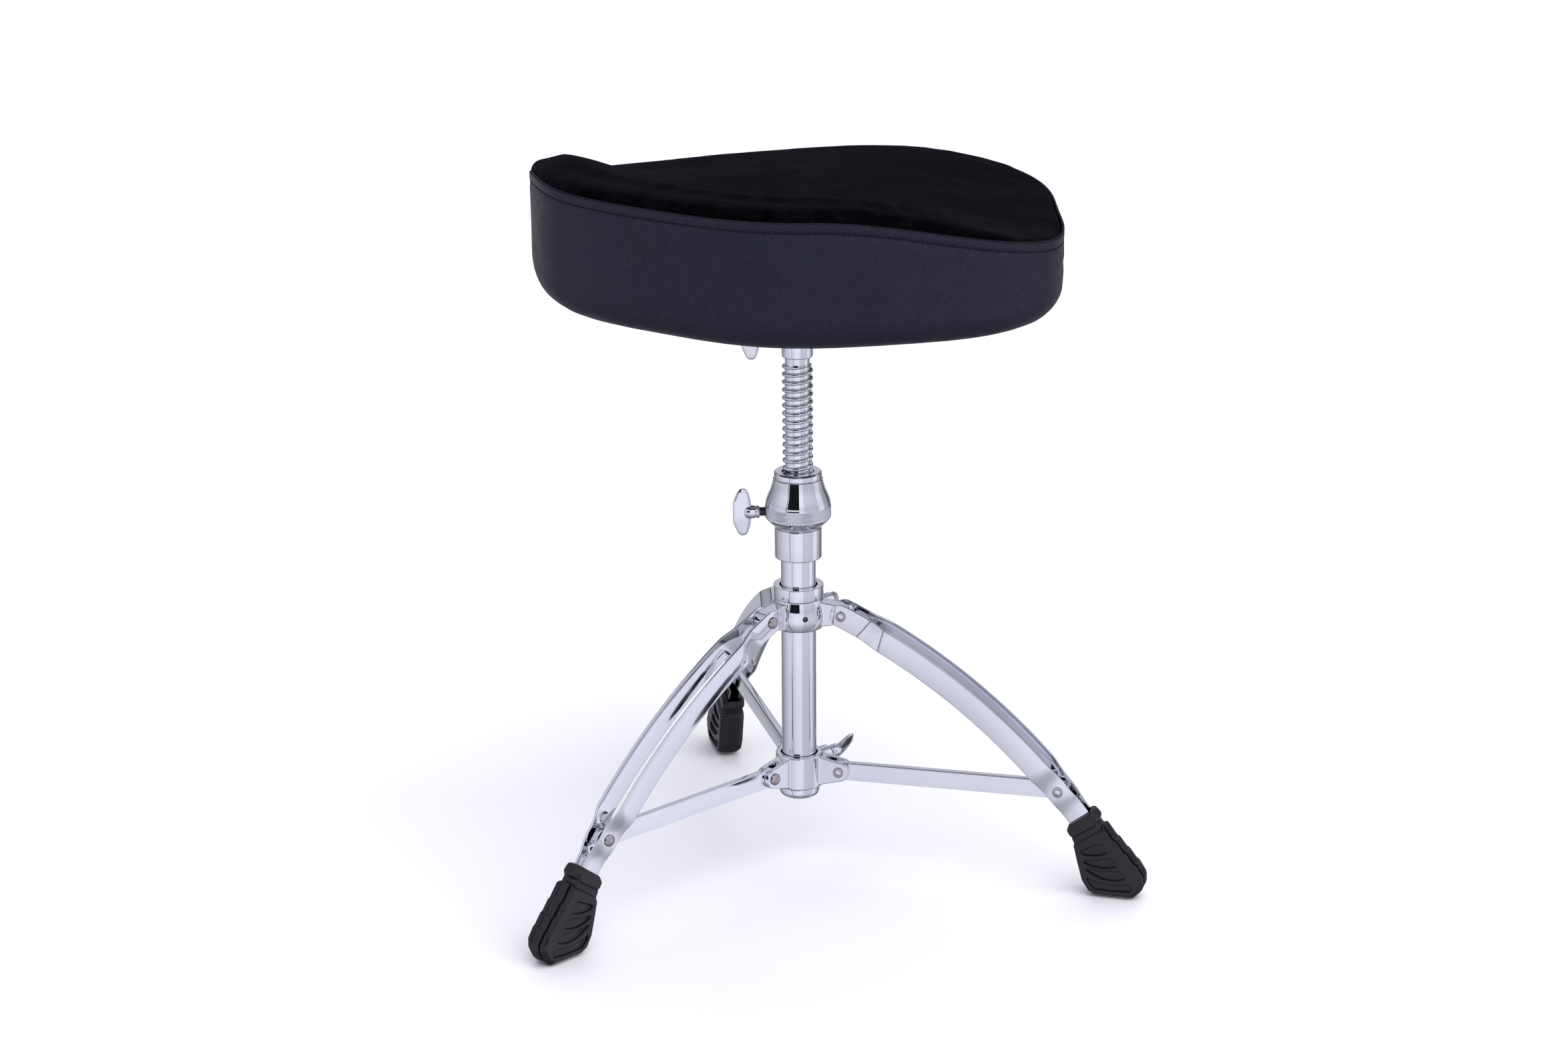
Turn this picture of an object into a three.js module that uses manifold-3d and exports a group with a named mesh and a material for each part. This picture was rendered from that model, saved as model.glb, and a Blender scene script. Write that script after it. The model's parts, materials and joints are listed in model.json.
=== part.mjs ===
// Drum throne: saddle seat on a threaded rod, over a folding tripod with double-strap legs.
// Millimetres, +Z up. The sitter faces -Y. The origin is the middle of the footprint on the floor.
import * as THREE from 'three';
import { mergeVertices } from 'three/addons/utils/BufferGeometryUtils.js';
import { ParametricGeometry } from 'three/addons/geometries/ParametricGeometry.js';
import Module from 'manifold-3d';

const wasm = await Module();
wasm.setup();

// ---- driving dimensions -------------------------------------------------------------------
const GAP = 0.3; // space kept between neighbouring solids
const MERGE_DISTANCE = 1e-4;
const ROUND = 20; // facets round a large turned part
const SMALL_ROUND = 10; // facets round a fastener
const LEG_AZIMUTHS = { rear: 90, right: -150, left: -30 };
const FRONT = -90; // azimuth of the clamp bolt and the tripod wing screw
const COLLAR_WING_AZIMUTH = 50;
const SEAT_WING_AZIMUTH = 46;

const TUBE = { radius: 14.3, bore: 13.1, bottom: 64.6, top: 277.7 };
const END_NUT = { radius: 16.6, bottom: 61.9, floor: 64.2, top: 70.6, hole: 6 };
const SLEEVE = { radius: 19.3, bottom: 269.7, top: 295.6 };
const NUT = { radius: 17, top: 295.2 };
const ROD = {
  crest: 12.65, // radius over the thread
  root: 10.2,
  pitch: 6.56,
  guideBottom: 163,
  bottom: 175, // lower end of the plain shank
  threadBottom: 215,
  threadTop: 432.5,
  end: 10.1, // radius of the smooth upper end
  top: 480,
};
const THREAD_BORE = 12.95;
const COLLAR_SCREW_HEIGHT = 309;
const COLLAR = { bottom: 296, top: 343, wide: 27 };
const HUB_BORE = TUBE.radius + GAP;

const UPPER_PIVOT = { reach: 37.7, height: 223.6 };
const LOWER_PIVOT = { reach: 35, height: 85.9 };
const BRACE_PIVOT = { reach: 219.9, height: 88 };
const STRAP = { height: 19.5, thick: 2, bend: 506, end: 56 }; // end: length past the brace pivot
const LUG_HALF = 6.2; // half width of an upper hub lug, between the straps
const FORK_HALF = 7; // half width over a lower hub fork
const BRACE = { thick: 5.6, height: 15.5, wall: 1.4 };
const RIVET = { shank: 2.9, head: 5, headRise: 2.5, tail: 4.4, tailRise: 1.3, socket: 2.2 };
const HOLE = RIVET.shank + GAP;
const UPPER_HUB = { bottom: 209.7, top: 235.4, lugEnd: 7.6, lugRoot: 16, boss: 6, bossEnd: 37 };
const LOWER_HUB = { bottom: 71, top: 99.5, radius: 19.6, lugEnd: 8.4, lugRoot: 15, screwHeight: 88 };
const HUB_RING = { radius: 20.6, bottom: 235.7, top: 246.4 };
const CLAMP_BOLT = { head: 5.2, shank: 3, from: 37.3, to: 42.5 };
const HUB_PIN = { radius: 1.8, hole: 2.1, end: 21.6, height: 222.4, azimuth: 149.7 };
const FOOT_MIDDLE = { reach: 262, height: 32 };
const FOOT_LAYERS = [[-10.9, 0.89], [-8.6, 0.965], [-4.5, 1], [4.5, 1], [8.6, 0.965], [10.9, 0.89]];

const SCREW = { radius: 3.9, hole: 4.3 };
const WING = { hub: 5.4, hubLength: 10.5, thick: 5.5 };

const BOARD = { bottom: 498.6, top: 510.6, inset: 24 };
const DUST_COVER = { bottom: 497, top: 498, inset: 54 };
const PLATE = { side: 120, bottom: 493.1, top: 496.1, boltSpan: 45 };
const SOCKET = {
  radius: 12.65,
  bore: 11.55,
  bottom: 438.5,
  screwHeight: 456,
  boss: 7.2,
  flareBottom: 478,
  flareRadius: 24,
};
const BUSH = { bore: 10.3, radius: 11.25, bottom: 444, top: 479 };
const BOLT = { radius: 3, head: 5.5, headRise: 3.6, top: 508 };
const SKIN = 1.6;
const SEAT_FACETS = 40;
const SEAT_FLOOR = 495.6; // underside of the turned-in skirt
const SEAT_CENTRE = 572; // height of the top at the middle of the dish
const SKIRT_ROUND = 22;
const SEAT_TURN = 10; // the seat as it swivelled, from the middle plane of the rear leg

// ---- materials ----------------------------------------------------------------------------
const finish = (color, roughness, metalness) =>
  new THREE.MeshStandardMaterial({ color, roughness, metalness });
const chrome = finish(0xd9dbe3, 0.08, 1);
const darkSteel = finish(0x4a4b50, 0.4, 1);
const rivetSteel = finish(0xb9b0b2, 0.35, 1);
const rubber = finish(0x1c1c21, 0.7, 0);
const vinyl = finish(0x14151d, 0.45, 0);
const velour = finish(0x050506, 0.95, 0);
const nylon = finish(0x222226, 0.5, 0);
const foamStuff = finish(0xd8cf9f, 0.95, 0);
const plywood = finish(0xb98f5c, 0.7, 0);
const dustCloth = finish(0x151517, 0.9, 0);

// ---- shape helpers ------------------------------------------------------------------------
const radians = THREE.MathUtils.degToRad;
const { cos, sin, sqrt, PI } = Math;

function signedVolume(geometry) {
  const at = geometry.getAttribute('position');
  const index = geometry.getIndex().array;
  const corner = [new THREE.Vector3(), new THREE.Vector3(), new THREE.Vector3()];
  let sum = 0;
  for (let i = 0; i < index.length; i += 3) {
    corner.forEach((point, k) => point.fromBufferAttribute(at, index[i + k]));
    sum += corner[0].dot(corner[1].clone().cross(corner[2]));
  }
  return sum / 6;
}

// One closed skin: only positions, shared corners merged, no empty faces, faces pointing out.
function closed(geometry) {
  const bare = geometry.clone();
  for (const name of Object.keys(bare.attributes)) {
    if (name !== 'position') bare.deleteAttribute(name);
  }
  const merged = mergeVertices(bare, MERGE_DISTANCE);
  const index = merged.getIndex().array;
  const kept = [];
  for (let i = 0; i < index.length; i += 3) {
    const [a, b, c] = [index[i], index[i + 1], index[i + 2]];
    if (a !== b && b !== c && c !== a) kept.push(a, b, c);
  }
  merged.setIndex(kept);
  if (signedVolume(merged) < 0) merged.setIndex(kept.reverse());
  return merged;
}

function solid(geometry) {
  const skin = closed(geometry);
  const vertProperties = new Float32Array(skin.getAttribute('position').array);
  const triVerts = new Uint32Array(skin.getIndex().array);
  return new wasm.Manifold(new wasm.Mesh({ numProp: 3, vertProperties, triVerts }));
}

function geometryOf(manifold) {
  const mesh = manifold.getMesh();
  const geometry = new THREE.BufferGeometry();
  geometry.setAttribute('position', new THREE.BufferAttribute(new Float32Array(mesh.vertProperties), 3));
  geometry.setIndex(Array.from(mesh.triVerts));
  return geometry;
}

function join(first, ...others) {
  return geometryOf(others.reduce((whole, piece) => whole.add(solid(piece)), solid(first)));
}

function cut(first, ...tools) {
  return geometryOf(tools.reduce((whole, tool) => whole.subtract(solid(tool)), solid(first)));
}

// A turned part about Z. Points are [radius, height]; a ring repeats its first point.
function turned(points, facets = ROUND) {
  const profile = points.map(([radius, height]) => new THREE.Vector2(radius, height));
  return new THREE.LatheGeometry(profile, facets).rotateX(PI / 2);
}

function ring(outer, inner, bottom, top, facets = ROUND) {
  return turned([[inner, bottom], [outer, bottom], [outer, top], [inner, top], [inner, bottom]], facets);
}

function post(radius, bottom, top, facets = ROUND) {
  return new THREE.CylinderGeometry(radius, radius, top - bottom, facets)
    .rotateX(PI / 2)
    .translate(0, 0, (top + bottom) / 2);
}

// A round bar along X from one reach to another, at a height.
function radialBar(radius, from, to, height, facets = SMALL_ROUND) {
  return new THREE.CylinderGeometry(radius, radius, to - from, facets)
    .rotateZ(PI / 2)
    .translate((to + from) / 2, 0, height);
}

// A round bar along Y, through a point of the leg's plane.
function crossBar(radius, halfLength, { reach, height }, facets = SMALL_ROUND) {
  return new THREE.CylinderGeometry(radius, radius, 2 * halfLength, facets).translate(reach, 0, height);
}

function box(sizeX, sizeY, sizeZ, x, y, z) {
  return new THREE.BoxGeometry(sizeX, sizeY, sizeZ).translate(x, y, z);
}

// An outline of [reach, height] points made into a plate that is centred on the plane Y = 0.
function plate(shape, thickness, curveSegments = 4) {
  return new THREE.ExtrudeGeometry(shape, { depth: thickness, bevelEnabled: false, curveSegments })
    .rotateX(PI / 2)
    .translate(0, thickness / 2, 0);
}

const outline = (points) => new THREE.Shape(points.map(([x, y]) => new THREE.Vector2(x, y)));

const throne = new THREE.Group();

function group(parent, azimuth = 0) {
  const made = new THREE.Group();
  made.rotation.z = radians(azimuth);
  parent.add(made);
  return made;
}

function add(parent, name, geometry, material) {
  const mesh = new THREE.Mesh(closed(geometry), material);
  mesh.name = name;
  parent.add(mesh);
}

// ---- seat ---------------------------------------------------------------------------------
// Angle from the back of the seat, 0 at the back and PI at the nose, the same on both sides.
const fromBack = (azimuth) => Math.acos(sin(azimuth - radians(SEAT_TURN)));

const ease = (value, start, end) => THREE.MathUtils.smoothstep(value, radians(start), radians(end));

const REACH_TERMS = [213.1, -6.6, -8.3, -5.7, 4.9, 0.4, -4.4]; // of the cosines of 0, b, 2b and so on

// Outline radius of the skirt: widest over the thighs, flatter at the back and beside the nose.
function seatReach(azimuth) {
  const b = fromBack(azimuth);
  return REACH_TERMS.reduce((sum, term, k) => sum + term * cos(k * b), 0);
}

// Height of the seam between the top and the skirt: high at the back, low under the thighs.
function seamHeight(azimuth) {
  const b = fromBack(azimuth);
  return 595.5 - 36 * ease(b, 38, 104) + 7 * ease(b, 135, 180);
}

// How far the padded rim rises above the seam.
function rimRise(azimuth) {
  return 13.5 - 11 * ease(fromBack(azimuth), 64, 94);
}

// A point of the padded top, at a share of the way out from the middle to the edge.
function topPoint(azimuth, share, drop = 0) {
  const rim = 0.89;
  const crest = seamHeight(azimuth) + rimRise(azimuth);
  let height = SEAT_CENTRE + (crest - SEAT_CENTRE) * THREE.MathUtils.smoothstep(share, 0.35, rim);
  if (share > rim) {
    const over = (share - rim) / (1 - rim);
    height = seamHeight(azimuth) + rimRise(azimuth) * sqrt(Math.max(0, 1 - over * over));
  }
  return [seatReach(azimuth) * share, height - drop];
}

// A solid of the seat: each profile entry gives [reach, height] at an azimuth.
function seatSolid(profile, facets = SEAT_FACETS) {
  const stacks = profile.length - 1;
  const place = (u, v, target) => {
    const azimuth = 2 * PI * u;
    const [reach, height] = profile[Math.round(THREE.MathUtils.clamp(v, 0, 1) * stacks)](azimuth);
    target.set(reach * cos(azimuth), reach * sin(azimuth), height);
  };
  return new ParametricGeometry(place, facets, stacks);
}

const atInset = (inset, height) => (azimuth) => [seatReach(azimuth) - inset, height];
const atMiddle = (height) => () => [0, height];

const TOP_SHARES = [0.35, 0.55, 0.74, 0.89, 0.95, 0.985];

// Rows under the top, from the edge to the middle, a little inside the cover's own rows.
function rowsUnder(drop) {
  const shrink = 0.988;
  return TOP_SHARES.slice(0, -1)
    .reverse()
    .map((share) => (azimuth) => {
      const [reach, height] = topPoint(azimuth, share, drop);
      return [reach * shrink, height];
    });
}

function makeTopCover() {
  return seatSolid([
    atMiddle(SEAT_CENTRE),
    ...TOP_SHARES.map((share) => (azimuth) => topPoint(azimuth, share)),
    (azimuth) => [seatReach(azimuth), seamHeight(azimuth) + GAP / 2],
    (azimuth) => [seatReach(azimuth) - SKIN, seamHeight(azimuth) + GAP / 2],
    ...rowsUnder(SKIN),
    atMiddle(SEAT_CENTRE - SKIN),
  ]);
}

// Insets and heights down the round lower edge of the skirt and in under the board.
function skirtProfile(thickness) {
  const radius = SKIRT_ROUND - thickness;
  const edge = [15, 45, 75].map((degrees) => [
    SKIRT_ROUND - radius * cos(radians(degrees)),
    SEAT_FLOOR + SKIRT_ROUND - radius * sin(radians(degrees)),
  ]);
  return [[thickness, SEAT_FLOOR + SKIRT_ROUND + 4], ...edge, [50, SEAT_FLOOR + thickness]];
}

function makeSideCover() {
  const outer = skirtProfile(0).map(([inset, height]) => atInset(inset, height));
  const inner = skirtProfile(SKIN).map(([inset, height]) => atInset(inset, height));
  const seam = (inset) => (azimuth) => [seatReach(azimuth) - inset, seamHeight(azimuth) - GAP / 2];
  return seatSolid([seam(0), ...outer, ...inner.reverse(), seam(SKIN), seam(0)]);
}

function makeFoam() {
  const clear = SKIN + GAP + 0.4;
  return seatSolid([
    atMiddle(BOARD.top + GAP),
    atInset(12, BOARD.top + GAP),
    atInset(clear + 0.8, SEAT_FLOOR + SKIRT_ROUND + 2),
    (azimuth) => [seatReach(azimuth) - clear - 0.6, seamHeight(azimuth) - 1.5],
    ...rowsUnder(clear),
    atMiddle(SEAT_CENTRE - clear),
  ]);
}

function seatSlab(inset, bottom, top) {
  return seatSolid([atMiddle(bottom), atInset(inset, bottom), atInset(inset, top), atMiddle(top)]);
}

const boltPlaces = [[1, 1], [-1, 1], [-1, -1], [1, -1]].map(([x, y]) => [
  x * PLATE.boltSpan,
  y * PLATE.boltSpan,
]);

const boltHoles = (bottom, top) =>
  boltPlaces.map(([x, y]) => post(BOLT.radius + GAP, bottom, top, SMALL_ROUND).translate(x, y, 0));

function makeReceiver() {
  const flat = box(PLATE.side, PLATE.side, PLATE.top - PLATE.bottom, 0, 0, (PLATE.top + PLATE.bottom) / 2);
  const tube = post(SOCKET.radius, SOCKET.bottom, PLATE.bottom + 1);
  const { flareBottom, flareRadius } = SOCKET;
  const weldTop = PLATE.bottom + 1;
  const flare = turned([[0, flareBottom], [SOCKET.radius + 1, flareBottom], [flareRadius, weldTop], [0, weldTop]]);
  const boss = radialBar(SOCKET.boss, 8, 19.5, SOCKET.screwHeight).rotateZ(radians(SEAT_WING_AZIMUTH));
  const bore = post(SOCKET.bore, SOCKET.bottom - 1, PLATE.bottom - 2);
  const screwHole = radialBar(SCREW.hole, 5, 25, SOCKET.screwHeight).rotateZ(radians(SEAT_WING_AZIMUTH));
  const joined = join(flat, tube, flare, boss);
  return cut(joined, bore, screwHole, ...boltHoles(PLATE.bottom - 1, PLATE.top + 1));
}

function makeSeat(parent) {
  add(parent, 'seat_top_cover', makeTopCover(), velour);
  add(parent, 'seat_side_cover', makeSideCover(), vinyl);
  add(parent, 'seat_foam', makeFoam(), foamStuff);
  const slab = seatSlab(BOARD.inset, BOARD.bottom, BOARD.top);
  add(parent, 'seat_board', cut(slab, ...boltHoles(BOARD.bottom - 1, BOARD.top + 1)), plywood);
  const cloth = seatSlab(DUST_COVER.inset, DUST_COVER.bottom, DUST_COVER.top);
  const clothHoles = boltHoles(DUST_COVER.bottom - 1, DUST_COVER.top + 1);
  add(parent, 'seat_bottom_cover', cut(cloth, ...clothHoles), dustCloth);
  add(parent, 'seat_receiver', makeReceiver(), chrome);
  add(parent, 'receiver_bush', ring(BUSH.radius, BUSH.bore, BUSH.bottom, BUSH.top), nylon);
  boltPlaces.forEach(([x, y], i) => {
    const seatOn = PLATE.bottom - GAP;
    const bolt = turned(
      [
        [0, seatOn - BOLT.headRise],
        [BOLT.head - 1.2, seatOn - BOLT.headRise],
        [BOLT.head, seatOn - 1],
        [BOLT.head, seatOn],
        [BOLT.radius, seatOn],
        [BOLT.radius, BOLT.top],
        [0, BOLT.top],
      ],
      SMALL_ROUND,
    );
    add(parent, `receiver_bolt_${i + 1}`, bolt.translate(x, y, 0), darkSteel);
  });
  addWingScrew(group(parent, SEAT_WING_AZIMUTH), 'seat', {
    from: BUSH.radius + GAP,
    start: 23.5,
    height: SOCKET.screwHeight,
    turn: 0,
  });
}

// ---- wing screws --------------------------------------------------------------------------
// A T-shaped cast wing on a steel stud, with a soft pad at the stud's inner end. Along X.
function makeWing(start, height, turn) {
  const inner = [[6.4, 3.5], [6.8, 9], [7.8, 14], [9, 18.4], [10.8, 20.2]];
  const outer = [[15.8, 20.3], [17.6, 18.6], [19.4, 14], [21.1, 9], [21.9, 3]];
  const upper = [...inner, ...outer];
  const lower = upper.map(([x, w]) => [x, -w]).reverse();
  const wings = plate(outline([...upper, ...lower]), WING.thick);
  const tip = radialBar(WING.hub, 0, WING.hubLength, 0);
  const bore = radialBar(SCREW.hole - 0.1, -1, WING.hubLength - 3, 0);
  return cut(join(wings, tip), bore).rotateX(radians(turn)).translate(start, 0, height);
}

function addWingScrew(parent, name, { from, start, height, turn }) {
  const padLength = 2.4;
  const studFrom = from + padLength + GAP;
  add(parent, `${name}_wing`, makeWing(start, height, turn), chrome);
  add(parent, `${name}_stud`, radialBar(SCREW.radius, studFrom, start + WING.hubLength - 3.4, height), darkSteel);
  add(parent, `${name}_pad`, radialBar(SCREW.radius - 0.3, from, from + padLength, height), nylon);
}

// ---- column -------------------------------------------------------------------------------
// Right-hand thread as one skin: each row of corners climbs one pitch in a turn.
function makeThread(bottom, top) {
  const { crest, root, pitch } = ROD;
  const rows = [[0, root], [0.5, root], [0.63, crest], [0.87, crest]]; // share of a pitch, radius
  const turns = Math.ceil((top - bottom) / pitch) + 1;
  const count = (turns + 1) * rows.length;
  const corners = [];
  for (let side = 0; side < SMALL_ROUND; side++) {
    const angle = (2 * PI * side) / SMALL_ROUND;
    for (let k = 0; k < count; k++) {
      const [share, radius] = rows[k % rows.length];
      const rise = Math.floor(k / rows.length) - 1 + share + side / SMALL_ROUND;
      const height = THREE.MathUtils.clamp(bottom + pitch * rise, bottom, top);
      const reach = height === bottom || height === top ? root : radius;
      corners.push(reach * cos(angle), reach * sin(angle), height);
    }
  }
  const at = (side, k) => (side % SMALL_ROUND) * count + (side < SMALL_ROUND ? k : k + rows.length);
  const faces = [];
  for (let side = 0; side < SMALL_ROUND; side++) {
    for (let k = 0; k < count - rows.length - 1; k++) {
      const [a, b, c, d] = [at(side, k), at(side + 1, k), at(side + 1, k + 1), at(side, k + 1)];
      faces.push(a, b, c, a, c, d);
    }
  }
  const low = corners.length / 3;
  corners.push(0, 0, bottom, 0, 0, top);
  for (let side = 0; side < SMALL_ROUND; side++) {
    faces.push(low, at(side + 1, 0), at(side, 0));
    const last = count - rows.length - 1;
    faces.push(low + 1, at(side, last), at(side + 1, last));
  }
  const geometry = new THREE.BufferGeometry();
  geometry.setAttribute('position', new THREE.BufferAttribute(new Float32Array(corners), 3));
  geometry.setIndex(faces);
  return geometry;
}

function makeRod() {
  const chamfer = 1.5;
  const smoothEnd = turned([
    [0, ROD.threadTop - 1],
    [ROD.end, ROD.threadTop - 1],
    [ROD.end, ROD.top - chamfer],
    [ROD.end - chamfer, ROD.top],
    [0, ROD.top],
  ]);
  const shank = post(ROD.root, ROD.bottom, ROD.threadBottom + 1);
  const guideStub = post(7, ROD.guideBottom, ROD.bottom + 1, SMALL_ROUND);
  return join(makeThread(ROD.threadBottom, ROD.threadTop), smoothEnd, shank, guideStub);
}

function makeLockCollar() {
  const bell = turned([
    [THREAD_BORE, COLLAR.bottom],
    [19, COLLAR.bottom],
    [26, 302.8],
    [COLLAR.wide, 305.1],
    [COLLAR.wide, 314.6],
    [26.7, 318.6],
    [25.1, 322.7],
    [22.7, 327.3],
    [20.9, 332.9],
    [19.8, 337],
    [19.5, 341.4],
    [18.2, COLLAR.top],
    [THREAD_BORE, COLLAR.top],
    [THREAD_BORE, COLLAR.bottom],
  ]);
  const hole = radialBar(SCREW.hole, 8, 32, COLLAR_SCREW_HEIGHT).rotateZ(radians(COLLAR_WING_AZIMUTH));
  return cut(bell, hole);
}

function makeSleeve() {
  const step = TUBE.top + 0.3;
  return turned([
    [HUB_BORE, SLEEVE.bottom],
    [SLEEVE.radius - 1.4, SLEEVE.bottom],
    [SLEEVE.radius, SLEEVE.bottom + 1.8],
    [SLEEVE.radius, SLEEVE.top],
    [NUT.radius + GAP, SLEEVE.top],
    [NUT.radius + GAP, step],
    [HUB_BORE, step],
    [HUB_BORE, SLEEVE.bottom],
  ]);
}

function makeEndNut() {
  return turned([
    [END_NUT.hole, END_NUT.bottom],
    [END_NUT.radius - 2.6, END_NUT.bottom],
    [END_NUT.radius - 0.6, END_NUT.bottom + 1.4],
    [END_NUT.radius, END_NUT.bottom + 3.6],
    [END_NUT.radius, END_NUT.top],
    [HUB_BORE, END_NUT.top],
    [HUB_BORE, END_NUT.floor],
    [END_NUT.hole, END_NUT.floor],
    [END_NUT.hole, END_NUT.bottom],
  ]);
}

function makeColumn(parent) {
  add(parent, 'base_tube', ring(TUBE.radius, TUBE.bore, TUBE.bottom, TUBE.top), chrome);
  add(parent, 'tube_end_nut', makeEndNut(), chrome);
  add(parent, 'thread_sleeve', makeSleeve(), chrome);
  const nut = ring(NUT.radius, THREAD_BORE, TUBE.top + 0.6, NUT.top);
  add(parent, 'thread_nut', nut, darkSteel);
  add(parent, 'threaded_rod', makeRod(), chrome);
  const guide = ring(TUBE.bore - 0.15, 7.3, ROD.guideBottom + 1, ROD.bottom - GAP);
  add(parent, 'rod_guide', guide, nylon);
  add(parent, 'lock_collar', makeLockCollar(), chrome);
  addWingScrew(group(parent, COLLAR_WING_AZIMUTH), 'collar', {
    from: ROD.crest + GAP,
    start: 31.5,
    height: COLLAR_SCREW_HEIGHT,
    turn: 0,
  });
}

// ---- hubs ---------------------------------------------------------------------------------
const legAzimuths = Object.values(LEG_AZIMUTHS);

function aroundLegs(makeOne) {
  return legAzimuths.map((azimuth) => makeOne().rotateZ(radians(azimuth)));
}

// A lug in the leg's plane: a round end at the pivot, widening to the root at the barrel.
function lug({ reach, height }, endRadius, root, bottom, top, thickness) {
  const shape = new THREE.Shape();
  shape.moveTo(root, bottom);
  shape.lineTo(reach, height - endRadius);
  shape.absarc(reach, height, endRadius, -PI / 2, PI / 2, false);
  shape.lineTo(root, top);
  return plate(shape, thickness, 5);
}

function makeUpperHub() {
  const { bottom, top, lugEnd, lugRoot } = UPPER_HUB;
  const barrel = turned([
    [0, bottom],
    [19.4, bottom],
    [21.4, bottom + 2.3],
    [22.6, bottom + 7.3],
    [22.8, bottom + 12.8],
    [22, bottom + 19.3],
    [20.4, top - 1.2],
    [19.6, top],
    [0, top],
  ]);
  const lugs = aroundLegs(() => lug(UPPER_PIVOT, lugEnd, lugRoot, bottom + 0.8, top - 0.8, 2 * LUG_HALF));
  const boss = radialBar(UPPER_HUB.boss, lugRoot, UPPER_HUB.bossEnd, UPPER_PIVOT.height);
  const bore = post(HUB_BORE, bottom - 5, top + 5);
  const pivots = aroundLegs(() => crossBar(HOLE, 12, UPPER_PIVOT));
  const boltHole = radialBar(CLAMP_BOLT.shank + GAP, 10, 40, UPPER_PIVOT.height).rotateZ(radians(FRONT));
  const pinHole = radialBar(HUB_PIN.hole, 10, 26, HUB_PIN.height).rotateZ(radians(HUB_PIN.azimuth));
  const body = join(barrel, ...lugs, boss.rotateZ(radians(FRONT)));
  return cut(body, bore, ...pivots, boltHole, pinHole);
}

function makeLowerHub() {
  const { bottom, top, radius, lugEnd, lugRoot, screwHeight } = LOWER_HUB;
  const barrel = post(radius, bottom, top);
  const forks = aroundLegs(() => lug(LOWER_PIVOT, lugEnd, lugRoot, bottom + 0.5, top - 0.3, 2 * FORK_HALF));
  const boss = box(17, 15, 15, 24.5, 0, screwHeight).rotateZ(radians(FRONT));
  const bore = post(HUB_BORE + 0.6, bottom - 5, top + 5);
  const slots = aroundLegs(() => box(26, BRACE.thick + 2 * GAP, 60, 37, 0, LOWER_PIVOT.height));
  const pivots = aroundLegs(() => crossBar(HOLE, 12, LOWER_PIVOT));
  const screwHole = radialBar(SCREW.hole, 10, 40, screwHeight).rotateZ(radians(FRONT));
  return cut(join(barrel, ...forks, boss), bore, ...slots, ...pivots, screwHole);
}

function makeHubs(fixed) {
  add(fixed, 'upper_hub', makeUpperHub(), chrome);
  const hubRing = ring(HUB_RING.radius, TUBE.radius + 1, HUB_RING.bottom, HUB_RING.top);
  add(fixed, 'upper_hub_ring', hubRing, chrome);
  const front = group(fixed, FRONT);
  const boltHead = radialBar(CLAMP_BOLT.head, CLAMP_BOLT.from, CLAMP_BOLT.to, UPPER_PIVOT.height);
  const boltShank = radialBar(CLAMP_BOLT.shank, TUBE.radius + GAP, CLAMP_BOLT.from + 0.7, UPPER_PIVOT.height);
  add(front, 'hub_clamp_bolt', join(boltHead, boltShank), rivetSteel);
  const pin = radialBar(HUB_PIN.radius, TUBE.radius + GAP, HUB_PIN.end, HUB_PIN.height);
  add(group(fixed, HUB_PIN.azimuth), 'hub_pin', pin, darkSteel);
  add(fixed, 'lower_hub', makeLowerHub(), chrome);
  addWingScrew(group(fixed, FRONT), 'hub', {
    from: TUBE.radius + GAP,
    start: 35.5,
    height: LOWER_HUB.screwHeight,
    turn: 38,
  });
}

// ---- legs ---------------------------------------------------------------------------------
// The straps follow an arc through the upper pivot and the brace pivot.
const chord = {
  x: BRACE_PIVOT.reach - UPPER_PIVOT.reach,
  z: BRACE_PIVOT.height - UPPER_PIVOT.height,
};
const chordLength = Math.hypot(chord.x, chord.z);
const halfTurn = Math.asin(chordLength / 2 / STRAP.bend);
const pivotSpan = 2 * halfTurn * STRAP.bend;
const chordSlope = Math.atan2(chord.z, chord.x);
const startAngle = chordSlope + halfTurn + PI / 2;
const arcCentre = {
  x: UPPER_PIVOT.reach - STRAP.bend * cos(startAngle),
  z: UPPER_PIVOT.height - STRAP.bend * sin(startAngle),
};

// A point at a distance along the arc from the upper pivot, and to its upper side.
function onArc(along, side) {
  const angle = startAngle - along / STRAP.bend;
  const radius = STRAP.bend + side;
  return [arcCentre.x + radius * cos(angle), arcCentre.z + radius * sin(angle)];
}

// How far the strap's outer face stands from the leg's middle plane: [distance along, half width].
const STRAP_SPREAD = [
  [0, 8.55],
  [22, 8.55],
  [38, 13],
  [208, 13],
  [221, 8.55],
  [236, 8.55],
  [246, 5.5],
];

function strapSpread(along) {
  const next = STRAP_SPREAD.findIndex(([place]) => place > along);
  if (next === 0) return STRAP_SPREAD[0][1];
  if (next < 0) return STRAP_SPREAD.at(-1)[1];
  const [from, wide] = STRAP_SPREAD[next - 1];
  const [to, nextWide] = STRAP_SPREAD[next];
  return wide + ((nextWide - wide) * (along - from)) / (to - from);
}

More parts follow.
